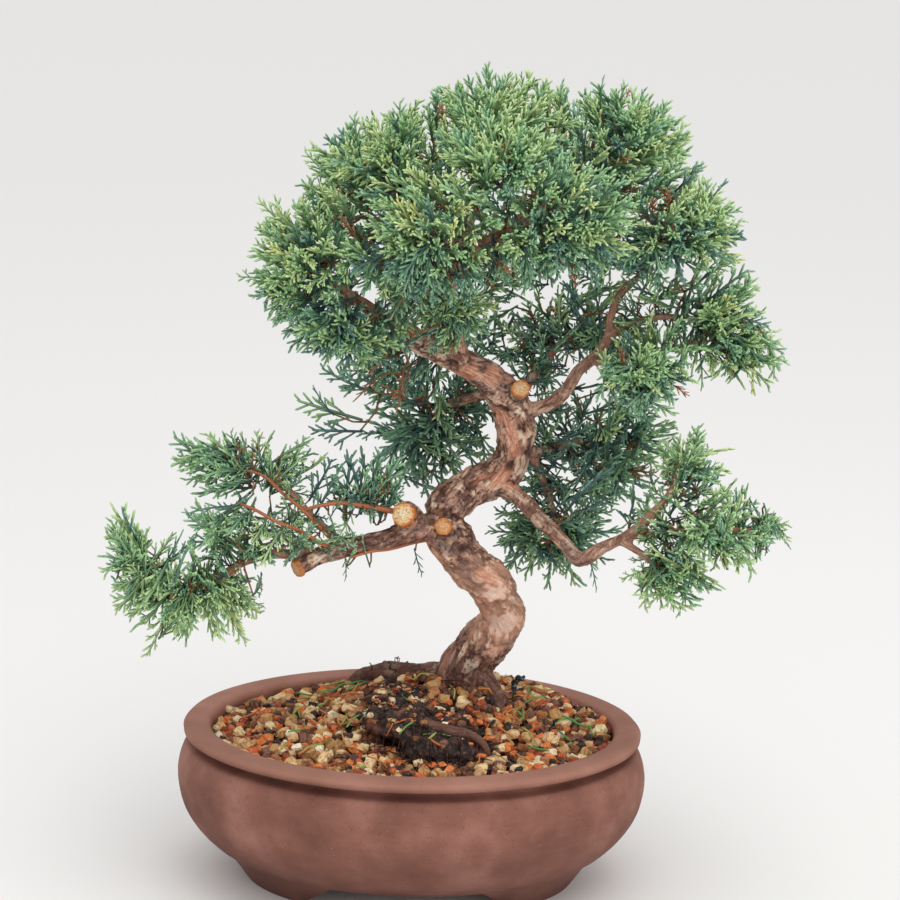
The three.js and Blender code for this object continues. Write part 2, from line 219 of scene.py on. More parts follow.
# A closed round limb: a capped circle drawn out ring by ring along the line
def drawOut(bm, line, sides, pointed=False, layers=None):
    frames = travel(line)
    radii = [row[3] for row in line]
    first = frames[0] @ Matrix.Diagonal((radii[0], radii[0], radii[0], 1))
    ring = bmesh.ops.create_circle(bm, cap_ends=True, radius=1, segments=sides, matrix=first)["verts"]
    face = ring[0].link_faces[0]
    made = list(ring)
    if layers:
        for k, vert in enumerate(ring):
            vert[layers["round"]] = k / sides
            vert[layers["along"]] = line[0][4]
    for i in range(1, len(line)):
        grown = bmesh.ops.extrude_face_region(bm, geom=[face], use_keep_orig=i == 1)["geom"]
        ring = [part for part in grown if isinstance(part, bmesh.types.BMVert)]
        if i > 1:
            bmesh.ops.delete(bm, geom=[face], context="FACES_ONLY")
        face = [part for part in grown if isinstance(part, bmesh.types.BMFace)][0]
        scale = radii[i] / radii[i - 1]
        move = frames[i] @ Matrix.Diagonal((scale, scale, scale, 1)) @ frames[i - 1].inverted()
        bmesh.ops.transform(bm, matrix=move, verts=ring)
        made += ring
        if layers:
            for vert in ring:
                vert[layers["along"]] = line[i][4]
    if pointed:
        bmesh.ops.pointmerge(bm, verts=ring, merge_co=frames[-1].translation)
        made = [vert for vert in made if vert.is_valid]
    return made


def limbMesh(line, sides):
    bm = bmesh.new()
    drawOut(bm, line, sides)
    return toMesh(bm, "limb")


# Many meshes joined into one
def joinCopies(copies, name):
    scene = bpy.context.scene.collection
    holders = [bpy.data.objects.new("copy", copy) for copy in copies]
    for holder in holders:
        scene.objects.link(holder)
    with bpy.context.temp_override(active_object=holders[0], selected_editable_objects=holders):
        bpy.ops.object.join()
    mesh = holders[0].data
    bpy.data.objects.remove(holders[0])
    for copy in copies[1:]:
        bpy.data.meshes.remove(copy)
    mesh.name = name
    return mesh


# A place with its Z axis along way
def aimed(base, way, roll, scale):
    turn = way.to_track_quat("Z", "Y").to_matrix().to_4x4()
    return Matrix.Translation(base) @ turn @ Matrix.Rotation(roll, 4, "Z") @ Matrix.Scale(scale, 4)


# Pot: stoneware, thrown round, pressed oval, left unglazed

pot = {
    "steps": 120,
    "depthLoss": 22.4,  # less deep than long, each side
    "fullLossRadius": 60,
    # Underside, foot ring and foot corner, as sharp corners
    "foot": [(0, 12.5), (62.4, 12.5), (63, 0), (71.4, 0), (72.2, 1), (80, 12.5)],
    # Belly, neck groove, rolled lip and inner wall, as smooth curves
    "belly": [(80, 12.5), (87.6, 18), (94.6, 25.8), (99.4, 34.6), (101.4, 45.6), (101, 51),
              (99.4, 56.6), (97.4, 60.2)],
    "neck": [(97.4, 60.2), (94.2, 60.8), (91.8, 61.6), (91.3, 63), (92.8, 64.2)],
    "lip": [(92.8, 64.2), (96.8, 64.3), (98.8, 65.4), (99, 67.3), (97.8, 68.7), (95.6, 69),
            (91, 68.9), (88.4, 68.6), (87.4, 67.4)],
    "wall": [(87.4, 67.4), (87.2, 63), (88.4, 58.6), (92.4, 53), (94.2, 45.6), (92, 35),
             (86, 25.6), (76, 20.2), (64, 18)],
    "floor": [(64, 18), (30, 18), (0, 18)],
    "curveStep": 1.6,
    "gapHalf": 32,  # gap between the feet, front and back
    "gapFlare": 13,
    "footHeight": 12.5,
    "drainX": 38,
    "drainRadius": 7.5,
    "edgeRound": 0.55,
    "handMade": 0.35,  # how far the clay strays from the true oval
    "waves": ((55, 0.7), (16, 0.3)),  # sizes of the strays in mm, and their shares
}


def ovalDepth(radius):
    return radius - pot["depthLoss"] * min(1, radius / pot["fullLossRadius"])


def pressOval(bm):
    for vert in bm.verts:
        radius = math.hypot(vert.co.x, vert.co.y)
        if radius > 1e-6:
            vert.co.y *= ovalDepth(radius) / radius


def potOutline():
    outline = list(pot["foot"][:-1])
    for name in ("belly", "neck", "lip", "wall"):
        rows = [(r, 0, z, 0) for r, z in pot[name]]
        outline += [(row[0], row[2]) for row in smoothLine(rows, pot["curveStep"])[:-1]]
    return outline + pot["floor"]


def cutterMesh():
    bm = bmesh.new()
    low = pot["gapHalf"] + pot["gapFlare"] * (pot["footHeight"] + 1) / pot["footHeight"]
    bar = bmesh.ops.create_cube(bm, size=2)["verts"]
    for vert in bar:
        if vert.co.z < 0:
            vert.co = (vert.co.x * low, vert.co.y * 200, -1)
        else:
            vert.co = (vert.co.x * pot["gapHalf"], vert.co.y * 200, pot["footHeight"])
    for side in (-1, 1):
        place = Matrix.Translation((side * pot["drainX"], 0, 15))
        bmesh.ops.create_cone(bm, cap_ends=True, segments=32, radius1=pot["drainRadius"],
                              radius2=pot["drainRadius"], depth=20, matrix=place)
    return toMesh(bm, "pot cutter")


def potMesh():
    bm = bmesh.new()
    verts = [bm.verts.new((r, 0, z)) for r, z in potOutline()]
    edges = [bm.edges.new(pair) for pair in zip(verts, verts[1:])]
    bmesh.ops.spin(bm, geom=verts + edges, cent=(0, 0, 0), axis=(0, 0, 1), angle=math.tau,
                   steps=pot["steps"], use_merge=True)
    bmesh.ops.remove_doubles(bm, verts=bm.verts, dist=1e-4)
    bmesh.ops.dissolve_degenerate(bm, edges=bm.edges, dist=1e-4)
    bmesh.ops.recalc_face_normals(bm, faces=bm.faces)
    pressOval(bm)
    cutter = bpy.data.objects.new("cutter", cutterMesh())
    bpy.context.scene.collection.objects.link(cutter)
    mesh = throughModifiers(
        toMesh(bm, "pot"),
        ("BOOLEAN", {"object": cutter, "operation": "DIFFERENCE", "solver": "EXACT"}),
        ("BEVEL", {"width": pot["edgeRound"], "segments": 2, "limit_method": "ANGLE",
                   "angle_limit": math.radians(35), "use_clamp_overlap": True}),
    )
    bpy.data.objects.remove(cutter)
    bm = bmesh.new()
    bm.from_mesh(mesh)
    bmesh.ops.remove_doubles(bm, verts=bm.verts, dist=2e-3)
    for vert in bm.verts:
        stray = sum(noise.noise(vert.co / wide) * part for wide, part in pot["waves"])
        if vert.co.z > pot["footHeight"] + 1:
            vert.co += Vector((vert.co.x, vert.co.y, 0)).normalized() * stray * pot["handMade"]
    return toMesh(bm, "pot")


# Unglazed stoneware: dull, even red-brown with a faint bloom, fine open pores,
# small pale grains of grog, and the wipe marks of the sponge round the wall
def stoneware():
    material, tree, surface = newMaterial("unglazed stoneware", 0.8, 0.3)
    place = objectPlace(tree)
    cloud = noiseOf(tree, place, 1 / (26 * mm), 4.0)
    tone = rampOf(tree, cloud, [(0.3, "#6f463a"), (0.5, "#885a4c"), (0.7, "#a47466")])
    # Sponge marks: long round the wall, about 2 mm apart
    turned = addNode(tree, "ShaderNodeMapping", {"Vector": place, "Scale": (1, 1, 9)})
    wiped = noiseOf(tree, turned, 1 / (16 * mm), 5.0)
    tone = mixOf(tree, rampOf(tree, wiped, [(0.4, 0.0), (0.8, 0.07)]), tone, "#b08476")
    # Grog: pale grains of about 0.5 mm, 3 mm apart, drawn a little larger than real
    grog = addNode(tree, "ShaderNodeTexVoronoi", {"Vector": place, "Scale": 1 / (3.1 * mm)})
    tone = mixOf(tree, rampOf(tree, grog, [(0.04, 0.4), (0.09, 0.0)]), tone, "#c9a796")
    # Pores: dark pits of 0.4 mm, 2 mm apart
    pores = addNode(tree, "ShaderNodeTexVoronoi", {"Vector": place, "Scale": 1 / (1.9 * mm)})
    pit = rampOf(tree, pores, [(0.08, 0.7), (0.17, 0.0)])
    tone = mixOf(tree, pit, tone, "#54322a")
    # Painted shade: the lower belly is painted darker towards the foot
    height = addNode(tree, "ShaderNodeSeparateXYZ", {"Vector": place}).outputs[2]
    tone = mixOf(tree, rangeOf(tree, height, 4 * mm, 42 * mm, 0.6, 0.0), tone, "#5d3c34")
    # Painted highlight: the top of the lip is painted lighter, where the light falls on it
    tone = mixOf(tree, rangeOf(tree, height, 64.5 * mm, 67.5 * mm, 0.0, 0.4), tone, "#bd8a76")
    setInput(tree, surface, "Base Color", tone)
    rough = bumpOf(tree, noiseOf(tree, place, 1 / (0.9 * mm), 3.0), 0.35, 0.12)
    pitting = bumpOf(tree, mathOf(tree, "SUBTRACT", 1.0, pit), 0.5, 0.2, rough)
    setInput(tree, surface, "Normal", bumpOf(tree, wiped, 0.25, 0.3, pitting))
    return material


finishPiece("stoneware_pot", potMesh(), stoneware(), ["pot"])
print("pot thrown")


# Wood: trunk and branches as one skin, each limb a list of [x, y, z, radius] from root to tip

wood = {
    "voxel": 0.9,
    "step": 2.2,
    "limbs": {
        "trunk": [
            [[22.5, 20, 70, 13.4], [21.5, 20, 85, 12.2], [24, 18.5, 91.5, 11], [27.5, 17, 96.5, 10.9],
             [30.5, 15.5, 101.5, 10.9], [34.5, 13, 107, 10.1], [37.5, 9.5, 116, 9.3], [34.5, 4, 126, 9.3],
             [30.5, 0, 133.5, 9.4], [22.5, -5, 141.5, 9.3], [14.5, -9.5, 154, 9.8], [10, -10.5, 160, 9.2],
             [8, -10, 166, 5.4]],
            [[5.5, -9.5, 164, 5.4], [13, -6.5, 169, 9.1], [22.5, 0, 174.5, 8.4], [32, 4, 178.5, 8.2],
             [39, 6, 186.5, 8.2], [40.5, 6, 198, 8.6], [38, 4, 210, 8.2], [31.5, 2, 218.5, 7.3],
             [24, 0, 225, 6.5], [15.5, 0, 229.5, 5.7], [6.5, 0, 233, 5.3], [-1, 2, 236.5, 4.9],
             [-8, 6, 241.5, 4.1], [-11, 7, 246.5, 2]],
            [[24.5, 22, 83, 6.9], [11.5, 23, 83.8, 5.6], [2.5, 26, 82.2, 4.9], [-8.5, 30, 81.5, 4.5],
             [-17.5, 34, 79.5, 4], [-24.5, 37, 76.5, 3.4], [-29, 40, 72, 2.4]],
            [[31, 13, 84, 5.4], [35.5, 7, 79.5, 4.3], [38.5, 2, 75.5, 3.2], [41, -2, 71, 2]],
            [[15, -12, 158, 4.9], [11.5, -19, 162, 3.9], [11, -20.5, 162.5, 3.7]],
            [[38.5, 3, 208, 5], [40.5, -1.5, 216.5, 4.7], [41.5, -7.5, 219.5, 4.2]],
            # A root that shows through the mat
            [[-1, -19, 72, 2], [4, -25, 77.8, 2.4], [9.4, -30.5, 77.8, 2.6], [17, -34.5, 77.5, 2.6],
             [24.6, -35.5, 76.4, 2.3], [30.5, -37, 73, 2], [32.7, -37, 68, 1.6]],
        ],
        "left_branch": [
            [[15, -8, 159, 4.9], [5, -14, 161, 5.9], [-1.5, -18, 160.5, 5.5], [-9.5, -21, 158, 4.5],
             [-21.5, -24, 155.5, 4.2], [-31, -26, 153, 4.1], [-42, -28, 149.5, 4], [-49, -33.5, 146.5, 3.9]],
            [[1, -16, 161, 4.2], [-2.5, -22, 166.5, 5.6], [-5.5, -29, 169.5, 5.5]],
            [[-39, -28, 151, 2.5], [-50, -28.5, 151, 2.4], [-60.5, -30, 151, 2.2], [-71.5, -32, 148, 2],
             [-85, -34, 139.5, 1.7], [-99, -35, 136.5, 1.4], [-112.5, -35, 145.5, 1.1]],
            [[-28, -26, 153.5, 2.2], [-42, -24, 164.5, 1.9], [-55.5, -20, 177.5, 1.6], [-71, -18, 186, 1.3]],
            [[-42, -28, 151.5, 1.8], [-52.5, -31, 157.5, 1.6], [-65.5, -32, 161.5, 1.3]],
        ],
        "low_right_branch": [
            [[34.5, 2, 175.5, 4.5], [44, -6, 171, 3.8], [51.5, -14, 165.5, 3.5], [61, -22, 158, 3.2],
             [68, -28, 152, 3.2], [77, -32, 158.5, 2.7], [83.5, -34, 162.5, 2.4], [90.5, -36, 168, 2.4],
             [97.5, -38, 176, 2.1], [103.5, -38, 184, 1.8], [107, -37, 196, 1.4]],
            [[85.5, -34.5, 164, 2], [97, -37, 166.5, 1.9], [111, -40, 168.5, 1.7], [126.5, -39, 169.5, 1.4],
             [142.5, -37, 169, 1]],
            [[83.5, -34, 162.5, 1.8], [93.5, -40, 158, 1.6], [103, -44, 151, 1.3]],
        ],
        "upper_right_branch": [
            [[39, 4, 206, 3.8], [49, 4, 209, 3.3], [56.5, 2, 212.5, 3], [62, 0, 219.5, 2.8],
             [66, 0, 226.5, 2.7], [72, 2, 231.5, 2.6], [76, 4, 235.5, 2.3], [78, 6, 241, 2.1],
             [79.5, 8, 250.5, 1.9], [83, 10, 258, 1.8], [90, 11, 265, 1.6], [97, 6, 275, 1.4],
             [99, -2, 286, 1]],
            [[77, 5, 240, 1.8], [88, 6, 246, 1.6], [102, 5, 249.5, 1.4], [117.5, 2, 248.5, 1.2],
             [131, -3, 241.5, 0.9]],
            [[70.5, 1.5, 230, 1.8], [79, -13, 232, 1.4], [89, -27, 231, 1]],
        ],
        "crown_left_branch": [
            [[-6, 5, 239.5, 3.5], [-20, 1, 248.5, 3.1], [-33.5, -9, 259.5, 2.5], [-45, -16, 270.5, 1.8]],
            [[-18, 1.5, 247.5, 2.2], [-25.5, -12, 245.5, 1.9], [-30.5, -22, 243.5, 1.4]],
        ],
        "crown_upper_left_branch": [
            [[-8, 6, 242.5, 3.1], [-13, 5, 260, 2.8], [-14.5, 0, 281.5, 2.4], [-12.5, -4, 303.5, 1.6]],
        ],
        "crown_leader": [
            [[11.5, 0, 230.5, 3.9], [9.5, 6, 248, 3.6], [13.5, 10, 271.5, 3.1], [21.5, 8, 297, 2.5],
             [29.5, 5, 318.5, 1.7]],
        ],
        "crown_right_branch": [
            [[13.5, 10, 269.5, 2.7], [35.5, 9, 285.5, 2.5], [57, 6, 301, 2.2], [75.5, 5, 313.5, 1.5]],
        ],
        "crown_front_branch": [
            [[17.5, -2, 228.5, 3.5], [12.5, -14, 248.5, 3.1], [7, -30, 270, 2.6], [5, -44, 286, 2]],
            [[6, -32, 272, 2.2], [23.5, -40, 285.5, 2], [45, -43, 295.5, 1.5]],
            [[7, -33, 273, 1.8], [15.5, -40, 293.5, 1.6], [27.5, -39, 313, 1.3]],
        ],
        "crown_back_left_branch": [
            [[4.5, 2, 234.5, 2.9], [1, 20, 250, 2.6], [-4, 36, 269.5, 2.2], [-7.5, 46, 286.5, 1.5]],
        ],
        "crown_back_right_branch": [
            [[11.5, 9, 260, 2.7], [27.5, 28, 271.5, 2.4], [47, 42, 283, 2], [61, 47, 289, 1.4]],
        ],
        "back_left_branch": [
            [[32, 4, 216.5, 2.9], [25, 18, 211, 2.5], [11.5, 34, 202, 2.2], [2.5, 42, 193, 1.5]],
        ],
        "back_upper_branch": [
            [[40, 7, 209, 2.9], [45.5, 20, 216.5, 2.5], [56.5, 34, 228, 2.1], [65.5, 41, 235, 1.4]],
        ],
        "back_right_branch": [
            [[39.5, 7, 191, 3.3], [48.5, 21, 186, 2.8], [60, 33, 186, 2.3], [71, 39, 187, 1.5]],
            [[47.5, 20, 186, 2.2], [55, 31, 167.5, 1.9], [62, 37, 147.5, 1.3]],
        ],
    },
    # Limbs that end in a saw cut, as (branch, limb)
    "sawn": [("trunk", 4), ("trunk", 5), ("left_branch", 0), ("left_branch", 1)],
    # Old knots and hollows, as x, y, z, radius
    "knots": [(34.8, -6, 124.1, 3.4), (33.2, 0, 107.6, 2.6), (32.7, 2, 98.8, 2.4), (19.1, -18, 151.8, 2.8),
              (23.5, -15, 158.8, 2.2), (12.1, -19, 145.7, 2.4), (23.6, -5, 186.7, 4.6),
              (29.1, -6, 213.8, 2.6), (25.7, -7, 228, 2.2), (39.2, -3, 185.6, 2.6), (15.5, -15, 176.8, 2.2),
              (28.9, -8, 177.8, 2.4), (32.8, -3, 201, 2.8), (30, 24, 150, 3), (44, 14, 196, 3.2),
              (14, 28, 108, 3), (31, 10, 219, 2.6)],
    # Their rim, hollow and darkness as strength and width, in shares of that radius
    "knotReach": 2.2,
    "knotRim": (0.36, 1.15, 0.4),  # the second number is where the rim stands
    "knotHollow": (0.7, 0.6),
    "knotDark": (1.2, 0.65),
    # Smooth places that lost their bark, their bare wood painted nearly white partly as the highlight on the
    # lower bend, as x, y, z, radius
    "bareAndLit": [(38, 0, 114, 8.5), (33, -6, 130, 6), (34, 8, 101, 4.5)],
    # Places in shade, where the bark is painted darker as shade, as x, y, z, radius
    "paintedShade": [(0, -16, 159, 8), (-12, -22, 157, 9), (-23, -25, 155, 6), (19, -14, 143, 5), (31, 4, 222, 7),
             (2, -22, 166, 6), (4, -24, 155, 9)],
    "spotEdge": (0.6, 1.25),  # bare, lit places and painted shade spots fade between these shares of their radius
    "limbGap": 37,  # between the grain of one limb and of the next, in mm
    "batch": 4000,  # points looked at in one go
    "twist": 0.028,  # turn of the grain in radians a millimetre
    "thin": (0.9, 7, 0.06),  # relief fades with the limb's radius: start, span and least share
    # Relief, as height and size in mm
    "gnarl": (1.25, 13),
    "lump": (0.85, 5.5),
    "flake": (0.38, 2.3),
    # Along the grain: height, width and length in mm
    "strip": (0.5, 1.7, 10),
    "plate": (0.5, 2.7, 5.6),
    "patch": (7, 26),  # width and length in mm
    "patchEdge": (0.12, 0.36),
    "plateBend": (7, 0.5),
    "crack": (0.06, 0.4),  # share of a strip's width, and depth in mm
    "seam": (0.12, 0.45),  # the same between two plates
    "ridge": 0.32,
}
# Each limb as a smooth line of x, y, z, radius rows
limbLines = [smoothLine(rows, wood["step"]) for limbs in wood["limbs"].values() for rows in limbs]


# For each point: its limb's radius there, and its place across and along that limb
def limbPlaces(points):
    centres, frames, starts, radii = [], [], [], []
    start = 0
    for line in limbLines:
        for k, (row, turn) in enumerate(zip(line, travel(line))):
            start += np.linalg.norm(row[:3] - line[k - 1][:3]) if k else wood["limbGap"]
            centres.append(row[:3])
            radii.append(row[3])
            frames.append(np.array(turn.to_3x3()))
            starts.append(start)
    centres, frames, radii, starts = map(np.array, (centres, frames, radii, starts))
    near = np.zeros(len(points), int)
    for low in range(0, len(points), wood["batch"]):
        part = slice(low, low + wood["batch"])
        away = np.linalg.norm(points[part, None, :] - centres[None], axis=2) - radii[None]
        near[part] = away.argmin(1)
    across = np.einsum("ni,nij->nj", points - centres[near], frames[near])
    along = starts[near] + across[:, 2]
    angle = along * wood["twist"]
    x = across[:, 0] * np.cos(angle) - across[:, 1] * np.sin(angle)
    y = across[:, 0] * np.sin(angle) + across[:, 1] * np.cos(angle)
    return radii[near], np.stack([x, y, along], 1)


def ease(low, high, value):
    t = min(1, max(0, (value - low) / (high - low)))
    return t * t * (3 - 2 * t)


def stretched(grain, wide, long, shiftX=0, shiftY=0):
    return Vector((grain.x / wide + shiftX, grain.y / wide + shiftY, grain.z / long))


# 1 in the middle of the nearest of some spots, 0 well away from them all
def nearness(here, spots, stray):
    low, high = wood["spotEdge"]
    return max(1 - ease(low, high, (here - Vector(spot[:3])).length / spot[3] + stray) for spot in spots)


# Bark relief at one point: how far it stands out, and its crack, tint, bare patch and youth
def barkAt(point, place, radius):
    here = Vector(point)
    grain = Vector(place)
    thinnest, span, least = wood["thin"]
    strength = min(1, max(least, (radius - thinnest) / span))
    rise = sum(high * noise.noise(here / size) for high, size in (wood["gnarl"], wood["lump"]))
    flakeHigh, flakeSize = wood["flake"]
    flake = noise.noise(here / flakeSize + Vector((9, 2, 5)))
    stripHigh, *stripSize = wood["strip"]
    strip = abs(noise.noise(stretched(grain, *stripSize)))
    crackWide, crackDeep = wood["crack"]
    crack = max(0, 1 - strip / crackWide)
    ridge = min(1, strip / wood["ridge"])
    plateHigh, *plateSize = wood["plate"]
    bendSize, bend = wood["plateBend"]
    far, seeds = noise.voronoi(stretched(grain, *plateSize) + noise.noise_vector(here / bendSize) * bend)
    seamWide, seamDeep = wood["seam"]
    seam = max(0, 1 - (far[1] - far[0]) / seamWide)
    tint = noise.cell(seeds[0] * 9.7)
    streak = noise.noise(stretched(grain, *wood["patch"], 3.1, 7.7))
    bareAndLit = nearness(here, wood["bareAndLit"], 0.6 * flake)
    # Painted shade: near these spots the bark is painted darker, with fewer fresh patches and less young
    # colour
    paintedShade = nearness(here, wood["paintedShade"], 0.6 * flake)
    patch = max(ease(*wood["patchEdge"], streak) * (1 - paintedShade), bareAndLit)
    relief = stripHigh * (ridge - 0.5) - crackDeep * crack + plateHigh * (tint - 0.2) - seamDeep * seam
    relief += flakeHigh * flake
    stand = ease(-0.8, 0.9, relief)
    rise += relief * (1 - 0.75 * patch) - 0.2 * patch
    rise *= strength
    for x, y, z, size in wood["knots"]:
        away = (here - Vector((x, y, z))).length / size
        if away < wood["knotReach"]:
            rimHigh, rimAt, rimWide = wood["knotRim"]
            deep, hollowWide = wood["knotHollow"]
            dark, darkWide = wood["knotDark"]
            rim = rimHigh * size * math.exp(-((away - rimAt) / rimWide) ** 2)
            rise += rim - deep * size * math.exp(-(away / hollowWide) ** 2)
            crack = max(crack, dark * math.exp(-(away / darkWide) ** 2))
            patch *= ease(0.8, 1.6, away)
    crack = min(1, max(crack * 0.8, seam) * (1 - 0.75 * patch) * min(1, strength * 2.2))
    cloud = ease(-0.4, 0.4, noise.noise(here / 6))
    # Raised bark is painted paler, as a painted highlight on its ridges
    tint = (0.2 * tint + 0.3 * cloud + 0.5 * stand) * (1 - 0.7 * paintedShade)
    youth = (1 - ease(1.6, 4.2, radius)) * (1 - 0.8 * paintedShade)
    return rise, (crack, tint, patch + bareAndLit, youth)


def woodMesh():
    limbs = [limbMesh(line, 20 if line[0][3] > 6 else 12) for line in limbLines]
    remesh = {"mode": "VOXEL", "voxel_size": wood["voxel"], "adaptivity": 0.0}
    mesh = throughModifiers(joinCopies(limbs, "wood"), ("REMESH", remesh))
    bm = bmesh.new()
    bm.from_mesh(mesh)
    everyAxis = {"use_axis_x": True, "use_axis_y": True, "use_axis_z": True}
    for _ in range(2):
        bmesh.ops.smooth_vert(bm, verts=bm.verts, factor=0.5, **everyAxis)
    mesh = toMesh(bm, "wood")
    points = vertexPlaces(mesh)
    outward = np.zeros(len(points) * 3, np.float32)
    mesh.vertex_normals.foreach_get("vector", outward)
    radii, places = limbPlaces(points)
    bark = [barkAt(*each) for each in zip(points, places, radii)]
    rises = np.array([each[0] for each in bark])
    points += outward.reshape(-1, 3) * rises[:, None]
    mesh.vertices.foreach_set("co", points.astype(np.float32).ravel())
    look = mesh.attributes.new("barkLook", "FLOAT_COLOR", "POINT")
    look.data.foreach_set("color", np.array([each[1] for each in bark], np.float32).ravel())
    grain = mesh.attributes.new("barkGrain", "FLOAT_VECTOR", "POINT")
    grain.data.foreach_set("vector", places.astype(np.float32).ravel())
    mesh.update()
    return mesh


# Juniper bark: dull outer strips that crack and flake, grey-brown where old, and smooth
# salmon-orange where a flake has just come away; young twigs are orange-brown
def juniperBark():
    material, tree, surface = newMaterial("juniper bark", 0.72, 0.3)
    look = addNode(tree, "ShaderNodeAttribute", {}, attribute_name="barkLook")
    grain = addNode(tree, "ShaderNodeAttribute", {}, attribute_name="barkGrain").outputs["Vector"]
    place = objectPlace(tree)
    parts = addNode(tree, "ShaderNodeSeparateColor", {"Color": look.outputs["Color"]})
    crack, tint, patch = parts.outputs[:3]
    # Fibres: 0.5 mm across, 6 mm long
    drawn = addNode(tree, "ShaderNodeMapping", {"Vector": grain, "Scale": (1, 1, 0.09)})
    fibre = noiseOf(tree, drawn, 1.9, 4.0)
    blend = mathOf(tree, "MULTIPLY_ADD", fibre, 0.52, mathOf(tree, "MULTIPLY_ADD", tint, 0.5, 0.03))
    tone = rampOf(tree, blend, [(0.26, "#5e4037"), (0.4, "#92695a"), (0.52, "#bb907a"), (0.64, "#dcb89e"),
                                (0.78, "#f4e6d0")])
    # Grey weathering in clouds of 12 mm
    cloud = noiseOf(tree, place, 1 / (12 * mm), 3.0)
    tone = mixOf(tree, rampOf(tree, cloud, [(0.5, 0.0), (0.68, 0.55)]), tone, "#9a8a80")
    # Fresh bark under lost flakes
    fresh = rampOf(tree, fibre, [(0.3, "#b4684e"), (0.5, "#d68d6f"), (0.7, "#eebfa2")])
    bare = addNode(tree, "ShaderNodeMath", {0: patch, 1: 0.7}, operation="MULTIPLY", use_clamp=True)
    tone = mixOf(tree, bare, tone, fresh)
    # Bare wood, which the attribute gives as more than one, painted nearly white partly as a painted
    # highlight
    smooth = rampOf(tree, fibre, [(0.34, "#e9c4b0"), (0.62, "#fff0e4")])
    tone = mixOf(tree, rangeOf(tree, patch, 1.0, 2.0, 0.0, 0.9), tone, smooth)
    # Twigs and young wood
    young = rampOf(tree, fibre, [(0.3, "#7d5344"), (0.5, "#a27560"), (0.7, "#c29c86")])
    tone = mixOf(tree, mathOf(tree, "MULTIPLY", look.outputs["Alpha"], 0.8), tone, young)
    # Cream flecks of dead cork, 1.7 mm, then dark cracks
    fleck = noiseOf(tree, place, 1 / (1.7 * mm), 2.0)
    tone = mixOf(tree, rampOf(tree, fleck, [(0.62, 0.0), (0.7, 0.6)]), tone, "#d9b48c")
    tone = mixOf(tree, crack, tone, "#3b251e")
    # Painted light: the lower bend, lit strongly from the front, is painted warm and light
    height = addNode(tree, "ShaderNodeSeparateXYZ", {"Vector": place}).outputs[2]
    sweep = noiseOf(tree, place, 1 / (16 * mm), 2.0)
    level = mathOf(tree, "MULTIPLY_ADD", sweep, 60 * mm, height)
    level = rangeOf(tree, level, 110 * mm, 210 * mm, 0.0, 1.0)
    bendLight = rampOf(tree, level, [(0.12, 0.0), (0.28, 0.45), (0.5, 0.36), (0.68, 0.0)])
    tone = mixOf(tree, bendLight, tone, "#dda88c")
    # Damp, stained bark at the soil
    tone = mixOf(tree, rangeOf(tree, height, 84 * mm, 100 * mm, 0.78, 0.0), tone, "#54322a")
    setInput(tree, surface, "Base Color", tone)
    cork = noiseOf(tree, place, 1 / (0.8 * mm), 2.0)
    bump = bumpOf(tree, cork, 0.4, 0.25, bumpOf(tree, fibre, 0.7, 0.5))
    setInput(tree, surface, "Normal", bump)
    return material


# Saw cuts: a disc of heartwood in the end of each sawn limb
sawCut = {
    "proud": 0.9,  # mm above the end of the limb
    "deep": 2.2,
    "share": 0.93,  # of the limb's radius
    "sides": 28,
    "insets": (0.35, 0.3),  # two rings inside the rim, in shares of the radius
    "edge": 0.35,
    "strays": ((0.2, 1.3), (0.1, 5)),  # how uneven and how ragged its outline is, with the pitch of each
    "rim": 0.62,  # the rim's place in the cut's own pattern
}


def sawCutMesh():
    cuts = []
    for branch, limb in wood["sawn"]:
        rows = wood["limbs"][branch][limb]
        last, before = Vector(rows[-1][:3]), Vector(rows[-2][:3])
        aim = (last - before).normalized()
        radius = rows[-1][3] * sawCut["share"]
        bm = bmesh.new()
        matrix = aimed(last + aim * sawCut["proud"], aim, 0, 1)
        ring = bmesh.ops.create_circle(bm, cap_ends=True, radius=radius, segments=sawCut["sides"])["verts"]
        for vert in ring:
            way = vert.co.normalized()
            vert.co *= sum((far * noise.noise(way * pitch + last) for far, pitch in sawCut["strays"]), 1)
        inner = ring[0].link_faces[0]
        for inset in sawCut["insets"]:
            bmesh.ops.inset_region(bm, faces=[inner], thickness=radius * inset, use_even_offset=True)
            inner = [face for face in bm.faces if len(face.verts) > 4][0]
        rim = [edge for edge in bm.edges if edge.is_boundary]
        skirt = bmesh.ops.extrude_edge_only(bm, edges=rim)["geom"]
        low = [part for part in skirt if isinstance(part, bmesh.types.BMVert)]
        bmesh.ops.translate(bm, verts=low, vec=(0, 0, -sawCut["deep"]))
        bmesh.ops.holes_fill(bm, edges=[edge for edge in bm.edges if edge.is_boundary])
        bmesh.ops.recalc_face_normals(bm, faces=bm.faces)
        sharp = [edge for edge in bm.edges if edge.calc_face_angle(0) > 1]
        bmesh.ops.bevel(bm, geom=sharp, offset=sawCut["edge"], segments=2, profile=0.5, affect="EDGES",
                        material=-1)
        mesh = toMesh(bm, "saw cut")
        spots = vertexPlaces(mesh) / radius * sawCut["rim"]
        spots[:, 2] = radius  # tells the material how large the cut is
        mark = mesh.attributes.new("cutPlace", "FLOAT_VECTOR", "POINT")
        mark.data.foreach_set("vector", spots.astype(np.float32).ravel())
        mesh.transform(matrix)
        cuts.append(mesh)
    return joinCopies(cuts, "saw cuts")


